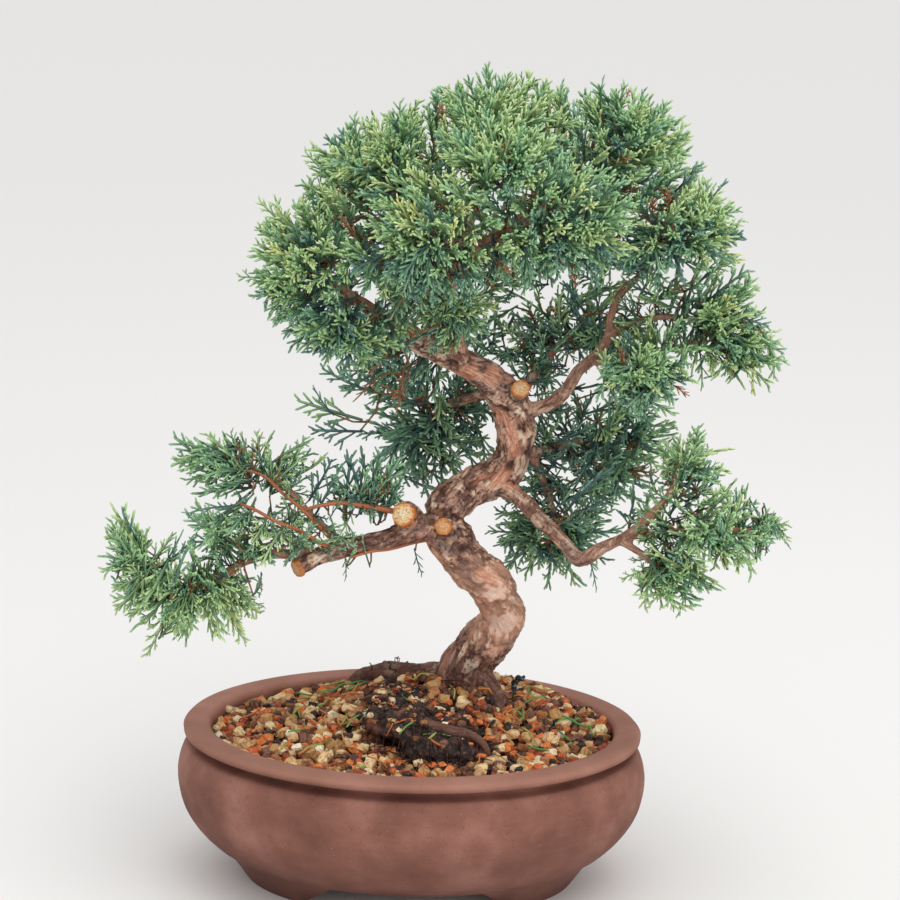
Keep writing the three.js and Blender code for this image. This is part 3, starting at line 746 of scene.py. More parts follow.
# Fresh-sawn juniper: pale yellow heart, orange resin towards the bark, faint rings, torn fibres
def sawnWood():
    material, tree, surface = newMaterial("sawn juniper", 0.6, 0.35)
    spot = addNode(tree, "ShaderNodeAttribute", {}, attribute_name="cutPlace").outputs["Vector"]
    x, y, radius = addNode(tree, "ShaderNodeSeparateXYZ", {"Vector": spot}).outputs[:3]
    flat = addNode(tree, "ShaderNodeCombineXYZ", {"X": x, "Y": y})
    far = addNode(tree, "ShaderNodeVectorMath", {0: flat}, operation="LENGTH").outputs["Value"]
    reach = mathOf(tree, "MULTIPLY_ADD", noiseOf(tree, spot, 4.0, 3.0), 0.56, far)
    tone = rampOf(tree, reach, [(0.4, "#f8e8c0"), (0.7, "#f2cf95"), (0.8, "#e6984f"), (0.9, "#c06a34"),
                                (0.98, "#8a4a2a")])
    wave = mathOf(tree, "SINE", mathOf(tree, "MULTIPLY", reach, 55.0))
    tone = mixOf(tree, rampOf(tree, wave, [(0.2, 0.0), (1.0, 0.28)]), tone, "#b9743f")
    # Resin soaks all of a cut of 3.4 mm radius and none of one over 4.8 mm
    tone = mixOf(tree, rangeOf(tree, radius, 3.4, 4.8, 0.62, 0.0), tone, "#d98b4f")
    # Fibres torn by the saw, a sixth of the cut's radius
    torn = noiseOf(tree, spot, 10.0, 4.0)
    tone = mixOf(tree, rampOf(tree, torn, [(0.5, 0.0), (0.62, 0.6)]), tone, "#a05c34")
    setInput(tree, surface, "Base Color", tone)
    bump = bumpOf(tree, wave, 0.3, 0.15, bumpOf(tree, torn, 0.6, 0.4))
    setInput(tree, surface, "Normal", bump)
    return material


bark = juniperBark()
woodSkin = woodMesh()
print("wood grown:", len(woodSkin.polygons), "faces")
finishPiece("juniper_wood", woodSkin, bark, list(wood["limbs"]))
finishPiece("saw_cuts", sawCutMesh(), sawnWood())


# Foliage: sprays of scale-leaved shoots. A few master sprays are grown once; each pad then
# sets copies of them over its own outer surface, with a thin twig to each from the branches

sprays = {
    # Lengths in mm, angles in degrees. turn is the step round the leader from one side shoot
    # to the next: half a turn makes a flat fan, less makes a bushy tuft
    "fan": {"length": 24, "shoots": 8, "longest": 11.5, "shortest": 3.2, "lean": 47, "turn": 180,
            "bend": 3, "subs": 2, "number": 6},
    "tuft": {"length": 16, "shoots": 9, "longest": 8.5, "shortest": 3.2, "lean": 45, "turn": 137.5,
             "bend": 2, "subs": 1, "number": 6},
    "wisp": {"length": 26, "shoots": 6, "longest": 10, "shortest": 3.6, "lean": 42, "turn": 168,
             "bend": 5, "subs": 1, "number": 5},
}
leader = {
    "shoots": (0.14, 0.8),  # where the first stands, and how far the others reach, as shares
    "strays": (22, 9),  # of a side shoot's turn and lean, in degrees
    "places": (0, 0.25, 0.5, 0.75, 0.96, 1),  # of the rings
    "radii": (0.58, 0.68, 0.68, 0.64, 0.5, 0.05),
    "ages": (0.04, 0.9),  # on the palette, at its foot and how far up
    "lengths": (0.88, 1.12),
}
shoot = {
    "base": 0.42,  # radii in mm
    "tip": 0.5,
    "point": 0.05,
    "tipLength": 0.8,
    "bend": 0.35,  # share of its parent's direction that it takes on
    "sides": 3,
}
subShoot = {"longFrom": 6.2, "shortFrom": 4.8, "least": 2.6, "lean": 40, "spread": 8}
cells = 16  # tones across the leaf palette
cellMargin = 0.1  # free at either side of a cell
widestTurn = 1.34  # the furthest across that layOut goes
freshCells = range(11)
deadCell = 15


# Faces of a drawn shoot laid out on the palette: across by side, upward by age
def layOut(bm, layers, low=0.0, wide=1.0):
    paint = bm.loops.layers.uv.new("OFBake")
    for face in bm.faces:
        turns = [loop.vert[layers["round"]] for loop in face.loops]
        wraps = max(turns) - min(turns) > 0.5
        for loop, turn in zip(face.loops, turns):
            turn = turn + 1 if wraps and turn < 0.3 else turn
            loop[paint].uv = (low + wide * turn, loop.vert[layers["along"]])
    for layer in layers.values():
        bm.verts.layers.float.remove(layer)


def newLayers(bm):
    return {name: bm.verts.layers.float.new(name) for name in ("round", "along")}


# A side shoot leaves along aim and turns a little toward the way its parent grows
def shootLine(start, aim, toward, length, along):
    way = (aim * (1 - shoot["bend"]) + toward * shoot["bend"]).normalized()
    neck = start + way * (length - shoot["tipLength"])
    return [[*start, shoot["base"], along], [*neck, shoot["tip"], 0.93],
            [*(neck + way * shoot["tipLength"]), shoot["point"], 1.0]]


def growSpray(kind, rng):
    bm = bmesh.new()
    layers = newLayers(bm)
    length = kind["length"] * rng.uniform(*leader["lengths"])
    bendX, bendY = (rng.uniform(-1, 1) * kind["bend"] for _ in range(2))
    axis = [Vector((bendX * t * t, bendY * math.sin(2.2 * t), t * length)) for t in leader["places"]]
    low, rise = leader["ages"]
    rows = enumerate(zip(axis, leader["radii"]))
    line = [[*place, radius, low + rise * k / 5] for k, (place, radius) in rows]
    drawOut(bm, line, shoot["sides"], True, layers)
    first, over = leader["shoots"]
    turnStray, leanStray = leader["strays"]
    for k in range(kind["shoots"]):
        t = first + over * (k + rng.uniform(-0.25, 0.25)) / (kind["shoots"] - 1)
        t = min(max(t, 0.08), 0.96)
        at = min(int(t * 4), 3)
        start = axis[at].lerp(axis[at + 1], t * 4 - at)
        grow = (axis[at + 1] - axis[at]).normalized()
        angle = math.radians(kind["turn"] * k + rng.uniform(-turnStray, turnStray))
        lean = math.radians(kind["lean"] + rng.uniform(-leanStray, leanStray))
        out = Vector((math.cos(angle), math.sin(angle), 0))
        aim = (grow * math.cos(lean) + out * math.sin(lean)).normalized()
        taper = (1 - t) ** 0.8
        reach = kind["shortest"] + (kind["longest"] - kind["shortest"]) * taper * rng.uniform(0.75, 1.15)
        line = shootLine(start, aim, grow, reach, 0.3 + 0.2 * t)
        drawOut(bm, line, shoot["sides"], True, layers)
        foot, head = Vector(line[0][:3]), Vector(line[-2][:3])
        flat = aim.cross(grow).normalized()
        subs = kind["subs"] if reach > subShoot["longFrom"] else int(reach > subShoot["shortFrom"])
        for j in range(subs):
            side = -1 if j % 2 else 1
            spread = rng.uniform(-subShoot["spread"], subShoot["spread"])
            turn = Matrix.Rotation(side * math.radians(subShoot["lean"] + spread), 3, flat)
            tilt = Matrix.Rotation(rng.uniform(-0.5, 0.5), 3, aim)
            root = foot.lerp(head, 0.38 + 0.24 * j)
            small = max(subShoot["least"], (reach - 1.5) * (0.52 - 0.09 * j)) * rng.uniform(0.85, 1.15)
            drawOut(bm, shootLine(root, tilt @ turn @ aim, aim, small, 0.5), shoot["sides"], True, layers)
    layOut(bm, layers)
    bmesh.ops.triangulate(bm, faces=bm.faces)
    return toMesh(bm, "spray")


def growMasters():
    rng = random.Random(41)
    masters = {}
    for name, kind in sprays.items():
        masters[name] = [growSpray(kind, rng) for _ in range(kind["number"])]
    return masters


# A copy of a master, turned and set in place, in one tone cell of the palette
def setCopy(master, matrix, cell):
    copy = master.copy()
    copy.transform(matrix)
    flat = np.zeros(len(copy.loops) * 2, np.float32)
    paint = copy.uv_layers["OFBake"].data
    paint.foreach_get("uv", flat)
    flat[0::2] = (cell + cellMargin + (1 - 2 * cellMargin) * flat[0::2] / widestTurn) / cells
    paint.foreach_set("uv", flat)
    return copy


# How often each tone cell is drawn: from blue-green in shade (0) through mid green (7) to
# yellow-green (14), and 15 for dead shoots
tones = {
    "crown": [1, 1, 2, 2, 3, 4, 5, 6, 6, 7, 8, 8, 6, 3, 1, 0.9],
    "side": [0, 1, 1, 2, 3, 4, 6, 8, 9, 9, 8, 7, 5, 2, 1, 0.8],
    "cool": [1, 2, 3, 4, 6, 8, 9, 8, 7, 5, 3, 2, 1, 0.5, 0.3, 0.8],
    "shade": [6, 8, 8, 7, 6, 5, 4, 3, 2, 1, 1, 0, 0, 0, 0, 1],
}

leaves = {
    # name: balls (x, y, z and three radii), spacing, tone, kinds of spray
    "low_right": ([(116, -40, 169.5, 29.5, 31.5, 20.5), (112, -31, 192, 15.5, 19.5, 17.5),
                   (141.5, -36, 169, 12.5, 12.5, 8), (105, -46, 149, 17.5, 19.5, 12.5)],
                  9.5, "side", "fan wisp"),
    "left_upper": ([(-72, -18, 187, 32.5, 19.5, 13.5)], 9.8, "cool", "fan wisp"),
    "left_middle": ([(-60.5, -32, 161.5, 36, 21.5, 13.5), (-73, -38, 153.5, 18, 12, 8)],
                    9.5, "cool", "fan wisp"),
    "left_low": ([(-93, -34, 132.5, 32.5, 25.5, 19.5), (-119.5, -34, 154, 12.5, 12.5, 17.5)],
                 10.1, "side", "fan wisp"),
    "left_inner": ([(-22, -14, 177, 19.5, 17.5, 16.5)], 10.1, "shade", "fan wisp"),
    "right_front": ([(90, -30, 231.5, 19.5, 18.5, 16.5)], 9, "crown", "tuft fan"),
    "crown_front": ([(5, -50, 288, 26.5, 23.5, 25.5), (27.5, -42, 316, 25.5, 21.5, 19.5),
                     (12, -22, 251, 17, 12, 14)], 8.1, "crown", "tuft fan tuft"),
    "crown_front_right": ([(51, -46, 295.5, 31.5, 23.5, 26.5)], 8.1, "crown", "tuft fan tuft"),
    "crown_left": ([(-40, -18, 272, 32.5, 37, 29.5), (-28.5, -22, 245.5, 24.5, 25.5, 14.5),
                    (-24, -24, 262, 17, 13, 16)], 8.7, "crown", "tuft fan"),
    "apex": ([(31.5, 4, 326.5, 32.5, 35.5, 24)], 8.5, "crown", "tuft fan"),
    "crown_upper_left": ([(-12.5, -3, 307, 33.5, 37, 25.5)], 8.7, "crown", "tuft fan"),
    "crown_right": ([(78.5, 5, 318.5, 29.5, 37, 26.5)], 8.7, "crown", "tuft fan"),
    "shoulder_right": ([(100, -3, 288, 30.5, 35.5, 24.5)], 8.9, "crown", "tuft fan"),
    "right": ([(111.5, 4, 251.5, 31.5, 33.5, 25.5), (134, -5, 237.5, 16.5, 16.5, 13.5)],
              9.5, "side", "fan wisp"),
    "crown_back_left": ([(-7.5, 46, 290, 43, 33.5, 37), (13, 36, 252, 26, 18, 23),
                         (38, 40, 246, 22, 17, 21), (28, 36, 286, 24, 20, 30)], 10.1, "crown", "tuft fan"),
    "crown_back_right": ([(63, 46, 291, 45, 33.5, 37), (64, 42, 254, 23, 18, 19)], 10.1, "crown", "tuft fan"),
    "back_left": ([(1.5, 43, 194, 27.5, 27.5, 33.5), (-12, 24, 224, 24, 22, 19),
                   (19, 40, 202, 15, 14, 24)], 11.1, "shade", "fan wisp"),
    "back_upper": ([(66.5, 43, 235, 32.5, 25.5, 20.5), (52, 24, 223, 15, 12, 15),
                    (42, 34, 237, 13, 12, 12)], 11.1, "shade", "fan wisp"),
    "back_right": ([(73, 42, 187, 29.5, 26.5, 26.5), (93, 24, 197, 18, 17, 22),
                    (86, 12, 177, 16, 14, 15)], 10.6, "shade", "fan wisp"),
    "back_low": ([(62, 39, 144, 27.5, 23.5, 21.5), (54, 34, 168, 19, 14, 16),
                  (43, 36, 148, 10, 12, 13)], 10.6, "shade", "fan wisp"),
}
goldenAngle = 2.39996
leafMass = {
    "reach": 30,  # mm beyond a ball where it still counts
    "full": 1.02,
    "step": 2,  # mm, on the way to the free surface
    "firmness": 5.5,  # how closely the mass keeps to the balls
    "fill": 12,  # mm that it may stand out between two balls
    "inner": 0.6,  # a second, sparser layer lies at this share of each ball
    "innerSpacing": 1.5,
    "innerSize": 0.9,
    # What turns a spray: out of the pad, away from the branch, by whole clumps, by chance, upward
    "outward": 0.45,
    "onward": 0.65,
    "clump": 0.7,
    "clumpSize": 21,
    "stray": 0.26,
    "upward": 0.12,
    "leastOut": 0.45,  # none grows back into the pad
    "sizes": (0.84, 1.16),
    "smallest": 0.6,
    "longest": 1.25,  # of the way to the branch
    "depth": (-6, 1.0),  # of the tip from the pad's surface, in mm
    "rooted": 0.8,  # fullness below which the root of a spray is outside
    "under": -0.4,  # sprays of the crown that look down more than this are in its shade
    "deadSize": 0.62,  # only the end of a shoot dies
}


# Single shoots that stand out of a pad's outline, as root and tip
outliers = {
    "left_low": [((-108, -36, 137), (-124, -38, 170)), ((-108, -38, 137), (-125, -44, 161)),
                 ((-106, -36, 133), (-127, -40, 134)), ((-104, -30, 130), (-128, -30, 140)),
                 ((-101, -36, 130), (-112, -38, 111)), ((-91, -38, 131), (-96, -42, 116)),
                 ((-79, -36, 133), (-69, -40, 115)), ((-75, -34, 133), (-62, -36, 130)),
                 ((-95, -34, 132), (-106, -30, 147)), ((-30, -26, 151), (-27, -24, 139))],
    "left_upper": [((-81, -18, 181), (-104, -20, 196)), ((-78, -18, 180), (-99, -24, 185)),
                   ((-74, -16, 183), (-80, -16, 200)), ((-65, -18, 184), (-65, -20, 202)),
                   ((-56, -16, 182), (-45, -14, 197))],
    "back_left": [((-24, -6, 204), (-53, -10, 210)), ((-24, -6, 199), (-48, -10, 201)),
                  ((-36, -8, 206), (-46, -10, 218)), ((-20, 2, 214), (-43, 0, 222)),
                  ((-12, -16, 238), (-20, -20, 226), "dead"), ((-4, -14, 230), (-12, -18, 216), "dead"),
                  ((-8, -12, 222), (-10, -13, 208), "dead"), ((-17, -8, 224), (-25, -11, 211), "dead"),
                  ((-14, -18, 240), (-27, -26, 235), "dead"), ((-6, -4, 212), (-17, -8, 219), "dead")],
    "left_middle": [((-73, -32, 155), (-96, -38, 167)), ((-69, -32, 158), (-94, -30, 154)),
                    ((-65, -30, 166), (-84, -26, 171)), ((-36, -30, 167), (-30, -30, 179)),
                    ((-36, -32, 163), (-23, -40, 159))],
    "left_inner": [((-30, -14, 162), (-31, -14, 191)), ((-18, -16, 168), (-10, -20, 193)),
                   ((-1, -14, 151), (4, -10, 139))],
    "crown_upper_left": [((-11, -4, 317), (-13, -4, 338)), ((-27, -2, 312), (-32, -2, 331)),
                         ((-37, -6, 304), (-51, -8, 316)), ((-43, -10, 297), (-44, -14, 313))],
    "crown_left": [((-55, -16, 285), (-69, -18, 296)), ((-55, -18, 277), (-67, -26, 280)),
                   ((-57, -18, 264), (-74, -18, 267)), ((-54, -18, 260), (-70, -22, 256)),
                   ((-50, -18, 252), (-57, -20, 242))],
    "apex": [((30, 4, 334), (26, 4, 349)), ((40, 0, 337), (37, 0, 350)), ((54, 4, 335), (55, 4, 348)),
             ((17, 4, 332), (11, 2, 345)), ((5, 0, 330), (1, 0, 342))],
    "crown_right": [((71, 5, 335), (71, 5, 349)), ((83, 5, 329), (87, 5, 345)),
                    ((92, 5, 319), (100, 2, 342)), ((96, 0, 307), (109, -4, 313))],
    "shoulder_right": [((114, -3, 283), (131, -3, 290)), ((112, -3, 271), (130, -6, 275)),
                       ((109, -3, 294), (118, -3, 298))],
    "right": [((130, -2, 248), (148, -6, 236)), ((126, 0, 250), (141, 0, 249)),
              ((124, 2, 258), (136, 0, 260)), ((116, 0, 237), (119, -4, 221)),
              ((128, -4, 240), (132, -6, 225))],
    "right_front": [((95, -28, 237), (103, -32, 218)), ((89, -30, 233), (88, -34, 218))],
    "low_right": [((135, -36, 169), (154, -36, 172)), ((127, -40, 163), (141, -46, 161)),
                  ((112, -32, 190), (113, -32, 212)), ((108, -30, 188), (99, -28, 204)),
                  ((113, -42, 149), (109, -46, 133)), ((105, -42, 148), (96, -46, 136)),
                  ((116, -32, 188), (122, -34, 197)), ((72, -28, 152), (78, -30, 140))],
}


def chance(rng):
    return Vector([rng.uniform(-1, 1) for _ in range(3)])


def within(point, ball):
    return math.sqrt(sum(((point[i] - ball[i]) / ball[i + 3]) ** 2 for i in range(3)))


# Above 1 inside the leaf mass, whose balls flow together where they are close
def fullness(point, share):
    total = 0
    for row in leaves.values():
        for ball in row[0]:
            reachX, reachZ = ball[3] + leafMass["reach"], ball[5] + leafMass["reach"]
            if abs(point[0] - ball[0]) < reachX and abs(point[2] - ball[2]) < reachZ:
                total += math.exp(-leafMass["firmness"] * (within(point, ball) - share))
    return total


# Points spread over the free surface of a pad, each with the way out
def padPoints(name, share, spacing, rng):
    found = []
    for ball in leaves[name][0]:
        a, b, c = (share * r for r in ball[3:])
        # The usual estimate of an ellipsoid's surface
        area = 4 * math.pi * (((a * b) ** 1.6 + (a * c) ** 1.6 + (b * c) ** 1.6) / 3) ** 0.625
        count = max(8, round(area / (0.87 * spacing ** 2)))
        start = rng.uniform(0, math.tau)
        for k in range(count):
            z = 1 - (2 * k + 1) / count
            angle = start + k * goldenAngle
            flat = math.sqrt(1 - z * z)
            out = Vector((flat * math.cos(angle), flat * math.sin(angle), z))
            out += chance(rng) * 0.5 * spacing / (a + b + c)
            out.normalize()
            point = Vector(ball[:3]) + Vector((out.x * a, out.y * b, out.z * c))
            out = Vector((out.x / a, out.y / b, out.z / c)).normalized()
            reached = 0
            while fullness(point, share) > leafMass["full"] and reached < leafMass["fill"]:
                point += out * leafMass["step"]
                reached += leafMass["step"]
            if reached < leafMass["fill"]:
                found.append((point, out))
    return found


# Bare twigs that show, as lines of x, y, z, radius; the first stands for the model's left_twig
barestTwigs = [
    [[-3.5, -20, 167, 1.3], [-8.8, -23, 168.9, 1.25], [-15.5, -24, 170.5, 1.2], [-22.5, -26, 171.9, 1.05],
     [-30.2, -28, 173.5, 0.9], [-39.1, -30, 172.8, 0.8], [-47.8, -30, 170, 0.7]],
    [[-73.5, -40, 175.3, 0.5], [-66.5, -42, 173.4, 0.65], [-57.1, -45, 169.2, 0.75], [-48, -41, 164.6, 0.85],
     [-38, -34, 157, 0.9], [-30, -27, 153, 0.9]],
    [[-74.2, -28, 186.8, 0.45], [-63.6, -31, 184.8, 0.6], [-55.6, -35, 178.9, 0.7], [-47.8, -34, 172.2, 0.75],
     [-42, -32, 166, 0.8], [-36, -27, 158, 0.8]],
    [[8, -12, 155, 0.8], [-1.1, -17, 154.3, 0.75], [-11, -22, 152.6, 0.7], [-18.8, -26, 152.4, 0.65],
     [-27.3, -30, 150.6, 0.5]],
]


# Places on the wood that is thinner than a radius
def thinWood(radius):
    return [row[:3] for line in limbLines for row in line if row[3] < radius]


def branchPoints():
    points = thinWood(3.6)
    points += [row[:3] for line in barestTwigs for row in smoothLine(line, wood["step"])]
    tree = kdtree.KDTree(len(points))
    for k, point in enumerate(points):
        tree.insert(point, k)
    tree.balance()
    return tree


def clothePad(name, masters, branches, rng):
    _, spacing, tone, kinds = leaves[name]
    kinds = kinds.split()
    copies = []
    bases = []
    layers = [(1.0, spacing, tones[tone], 1.0),
              (leafMass["inner"], spacing * leafMass["innerSpacing"], tones["shade"], leafMass["innerSize"])]
    for share, gap, lit, size in layers:
        for point, out in padPoints(name, share, gap, rng):
            away = point - Vector(branches.find(point)[0])
            clump = noise.noise_vector(point / leafMass["clumpSize"]) * leafMass["clump"]
            way = out * leafMass["outward"] + away.normalized() * leafMass["onward"] + clump
            way += chance(rng) * leafMass["stray"]
            way.z += leafMass["upward"]
            way.normalize()
            way = (way + out * max(0, leafMass["leastOut"] - way.dot(out))).normalized()
            kind = rng.choice(kinds)
            long = sprays[kind]["length"]
            scale = size * rng.uniform(*leafMass["sizes"])
            scale = max(leafMass["smallest"], min(scale, leafMass["longest"] * away.length / long))
            tip = point + out * rng.uniform(*leafMass["depth"])
            under = tone == "crown" and out.z < leafMass["under"]
            cell = rng.choices(range(cells), tones["shade"] if under else lit)[0]
            if cell == deadCell:
                scale *= leafMass["deadSize"]
            base = tip - way * long * scale
            if fullness(base, 1) < leafMass["rooted"]:
                # Rooted outside the mass: it grows along the line from its branch instead
                way = away.normalized()
                scale = max(leafMass["smallest"], min(scale, 0.9 * away.length / long))
                base = tip - way * long * scale
            master = rng.choice(masters[kind])
            copies.append(setCopy(master, aimed(base, way, rng.uniform(0, math.tau), scale), cell))
            bases.append((base, way))
    for root, tip, *dead in outliers.get(name, []):
        # These lie flat to the front, as in the photo
        root, tip = Vector(root), Vector(tip)
        way = (tip - root).normalized()
        flat = way.cross(Vector((0, 1, 0))).normalized()
        kind = "fan" if (tip - root).length > 17 else "wisp"
        turn = Matrix((flat, way.cross(flat), way)).transposed().to_4x4()
        matrix = Matrix.Translation(root) @ turn @ Matrix.Rotation(rng.uniform(-0.5, 0.5), 4, "Z")
        matrix = matrix @ Matrix.Scale((tip - root).length / sprays[kind]["length"], 4)
        cell = deadCell if dead else rng.choices(freshCells, tones[tone][:len(freshCells)])[0]
        copies.append(setCopy(rng.choice(masters[kind]), matrix, cell))
        bases.append((root, way))
    return joinCopies(copies, name), bases


# Juniper scale leaves: waxy, half-gloss green, darker and bluer low on the shoot, with
# bright yellow-green growing tips, and a few shoots that have died orange. The dark low part of
# each shoot is partly painted shade between the sprays, and the pale tips partly a painted highlight
def scaleLeaf():
    material, tree, surface = newMaterial("juniper scale leaf", 0.55, 0.35)
    _, across, upward = paletteParts(tree)
    oldAndShaded = [(0.03, "#3b5158"), (0.14, "#445f61"), (0.3, "#4d6e64"), (0.5, "#5b7e64"), (0.7, "#6d9066"),
           (0.83, "#819d68"), (0.91, "#95a76b"), (0.94, "#7c4f36")]
    young = [(0.03, "#7aa496"), (0.14, "#8ab798"), (0.3, "#9cca9c"), (0.5, "#b3da99"), (0.7, "#cbe6a2"),
             (0.83, "#dcecaa"), (0.91, "#e8efa0"), (0.94, "#bc865e")]
    rise = rampOf(tree, upward, [(0.25, 0.0), (0.97, 1.0)])
    tone = mixOf(tree, rise, rampOf(tree, across, oldAndShaded), rampOf(tree, across, young))
    setInput(tree, surface, "Base Color", tone)
    return material


twig = {
    "least": 1.2,  # a spray closer to the wood than this needs no twig
    "sway": 0.18,  # and how far it sags, in shares of its length
    "sag": 0.12,
    "radius": 0.42,
    "thicker": (0.35, 70),  # most that is added, and the length in mm that would add 1 mm
    "tip": 0.45,
    "across": (0.05, 0.65),  # its strip of the palette
}


def twigMesh(line, sides):
    bm = bmesh.new()
    layers = newLayers(bm)
    drawOut(bm, line, sides, False, layers)
    layOut(bm, layers, *twig["across"])
    return toMesh(bm, "twig")


# Thin twigs from the branches to every spray, each from the nearest wood grown so far
def twigsFor(bases, branches):
    reaches = [branches.find(base)[2] for base, way in bases]
    grown = thinWood(4.2)
    copies = []
    for rows in barestTwigs:
        line = smoothLine(rows, wood["step"])
        grown += [row[:3] for row in line]
        copies.append(twigMesh([[*row, 0.92 + 0.06 * k / len(line)] for k, row in enumerate(line)], 6))
    grown = np.array(grown)
    for k in sorted(range(len(bases)), key=lambda k: reaches[k]):
        base, way = bases[k]
        start = Vector(grown[np.linalg.norm(grown - np.array(base), axis=1).argmin()])
        reach = (base - start).length
        if reach < twig["least"]:
            continue
        sway = noise.noise_vector(base / 6) * twig["sway"] * reach
        middle = start.lerp(base, 0.55) - way * twig["sag"] * reach + sway
        end = base + way * 1.2
        most, span = twig["thicker"]
        thick = twig["radius"] + min(most, reach / span)
        line = [[*start, thick, 0.05], [*middle, thick * 0.8, 0.45], [*end, twig["tip"], 0.86]]
        copies.append(twigMesh(line, 3))
        more = [start.lerp(middle, 0.5), middle, middle.lerp(base, 0.5)]
        grown = np.vstack([grown, np.array([list(place) for place in more])])
    return joinCopies(copies, "twigs")


# Green and orange-brown shoots of one to three years: thin bark, half-gloss
def youngShoot():
    material, tree, surface = newMaterial("young juniper shoot", 0.6, 0.3)
    _, across, upward = paletteParts(tree)
    tone = rampOf(tree, upward, [(0.0, "#6f4a3a"), (0.4, "#9a6240"), (0.66, "#8f7046"), (0.88, "#687c4e"),
                                 (0.9, "#a5603e"), (1.0, "#c07a4e")])
    # Painted shade: one side of each twig is painted darker
    side = rampOf(tree, across, [(0.05, 0.15), (0.9, 0.0)])
    setInput(tree, surface, "Base Color", mixOf(tree, side, tone, "#3c2016"))
    return material


def clotheTree():
    rng = random.Random(7)
    masters = growMasters()
    branches = branchPoints()
    leaf = scaleLeaf()
    bases = []
    faces = 0
    for name in leaves:
        mesh, found = clothePad(name, masters, branches, rng)
        bases += found
        faces += len(mesh.polygons)
        finishPiece("leaves_" + name, mesh, leaf, ["foliage_" + name])
    print("foliage set:", len(bases), "sprays,", faces, "faces")
    mesh = twigsFor(bases, branches)
    print("twigs grown:", len(mesh.polygons), "faces")
    finishPiece("twigs", mesh, youngShoot(), ["left_twig"])


clotheTree()


# Soil: loose mineral grains on a finer bed, heaped round the trunk

soil = {
    "edge": 65,
    "mound": (16, 18, 22, 50, 38),  # x, y, height and reaches
    "bedLower": 4.6,  # the bed lies this far under the grains
    "wall": 87.4,  # half-length of the pot's mouth
    "cell": 0.6,  # of the height map that the grains are dropped on
    "mapHalf": (100, 78),  # half of its length, and of the depth that it fills
    # share, smallest and largest grain in mm, tone cells of the palette
    "grades": {
        "pumice": (0.3, 3.2, 6.8, (0, 1, 2, 3)),
        "cream": (0.06, 3, 5.6, (4, 5)),
        "red clay": (0.21, 2.6, 6.2, (6, 7, 8)),
        "brown clay": (0.3, 2.6, 6, (9, 10, 11, 12)),
        "black": (0.13, 2.2, 5, (13, 14, 15)),
    },
    "fine": (1100, 1.4, 2.7),  # count and sizes of the crumbs under and between them
    "coarse": 2150,
    "sink": (0.55, 0.35),  # share of its height that a fine and a coarse grain sinks in
    "squat": 0.36,  # half the height of a grain, as a share of its length
    "spread": (86, 66),  # half the length and depth of the field that grains fall on
    "tilt": 0.35,  # usual tilt of a grain in radians
    "highest": 1.2,  # no grain rests further above the soil line
    "masters": 14,
    "trunk": (22, 19, 12.5),  # x, y and radius of the place that the trunk takes
}


def soilHeight(x, y):
    midX, midY, high, reachX, reachY = soil["mound"]
    return soil["edge"] + high * math.exp(-((x - midX) / reachX) ** 2 - ((y - midY) / reachY) ** 2)


# Half-length of the oval on which a point of the soil lies
def ovalLength(x, y):
    # Halved again and again between nothing and a little more than the pot
    low, high = 0.0, 110.0
    for _ in range(16):
        middle = (low + high) / 2
        press = ovalDepth(middle) / middle
        if math.hypot(x, y / press) < middle:
            high = middle
        else:
            low = middle
    return high


def bedMesh():
    bm = bmesh.new()
    bm.from_mesh(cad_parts["soil"].data)
    bmesh.ops.transform(bm, matrix=toFrame.inverted(), verts=bm.verts)
    bmesh.ops.remove_doubles(bm, verts=bm.verts, dist=1e-3)
    for vert in bm.verts:
        if vert.co.z > soil["edge"] - 1:
            vert.co.z -= soil["bedLower"]
    return toMesh(bm, "soil bed")


# One grain: the hull of a few points scattered in a squat, blunt block
def grainMaster(rng):
    bm = bmesh.new()
    bmesh.ops.create_cube(bm, size=1)
    bmesh.ops.subdivide_edges(bm, edges=bm.edges, cuts=1, use_grid_fill=True)
    size = Vector((rng.uniform(0.85, 1.15), rng.uniform(0.7, 1), rng.uniform(0.55, 0.85)))
    for vert in bm.verts:
        corner = sum(abs(c) > 0.4 for c in vert.co)
        pull = (1.0, 1.12, 0.98, 0.84)[corner]
        vert.co = vert.co * pull * rng.uniform(0.82, 1.08)
        vert.co += Vector([rng.uniform(-0.07, 0.07) for _ in range(3)])
        vert.co = Vector((vert.co.x * size.x, vert.co.y * size.y, vert.co.z * size.z))
    hull = bmesh.ops.convex_hull(bm, input=bm.verts)
    inside = hull["geom_interior"] + hull["geom_unused"]
    loose = {part for part in inside if isinstance(part, bmesh.types.BMVert)}
    bmesh.ops.delete(bm, geom=list(loose), context="VERTS")
    stray = [vert for vert in bm.verts if not vert.link_faces]
    bmesh.ops.delete(bm, geom=stray, context="VERTS")
    bmesh.ops.dissolve_limit(bm, angle_limit=math.radians(22), verts=bm.verts, edges=bm.edges)
    bmesh.ops.triangulate(bm, faces=bm.faces)
    bmesh.ops.recalc_face_normals(bm, faces=bm.faces)
    paint = bm.loops.layers.uv.new("OFBake")
    for face in bm.faces:
        for loop in face.loops:
            spot = loop.vert.co
            across = 0.5 + (spot.x + 0.55 * spot.z) * 0.55
            upward = 0.5 + (spot.y - 0.6 * spot.z + 0.2 * spot.x) * 0.62
            loop[paint].uv = [min(0.98, max(0.02, value)) for value in (across, upward)]
    return toMesh(bm, "grain")


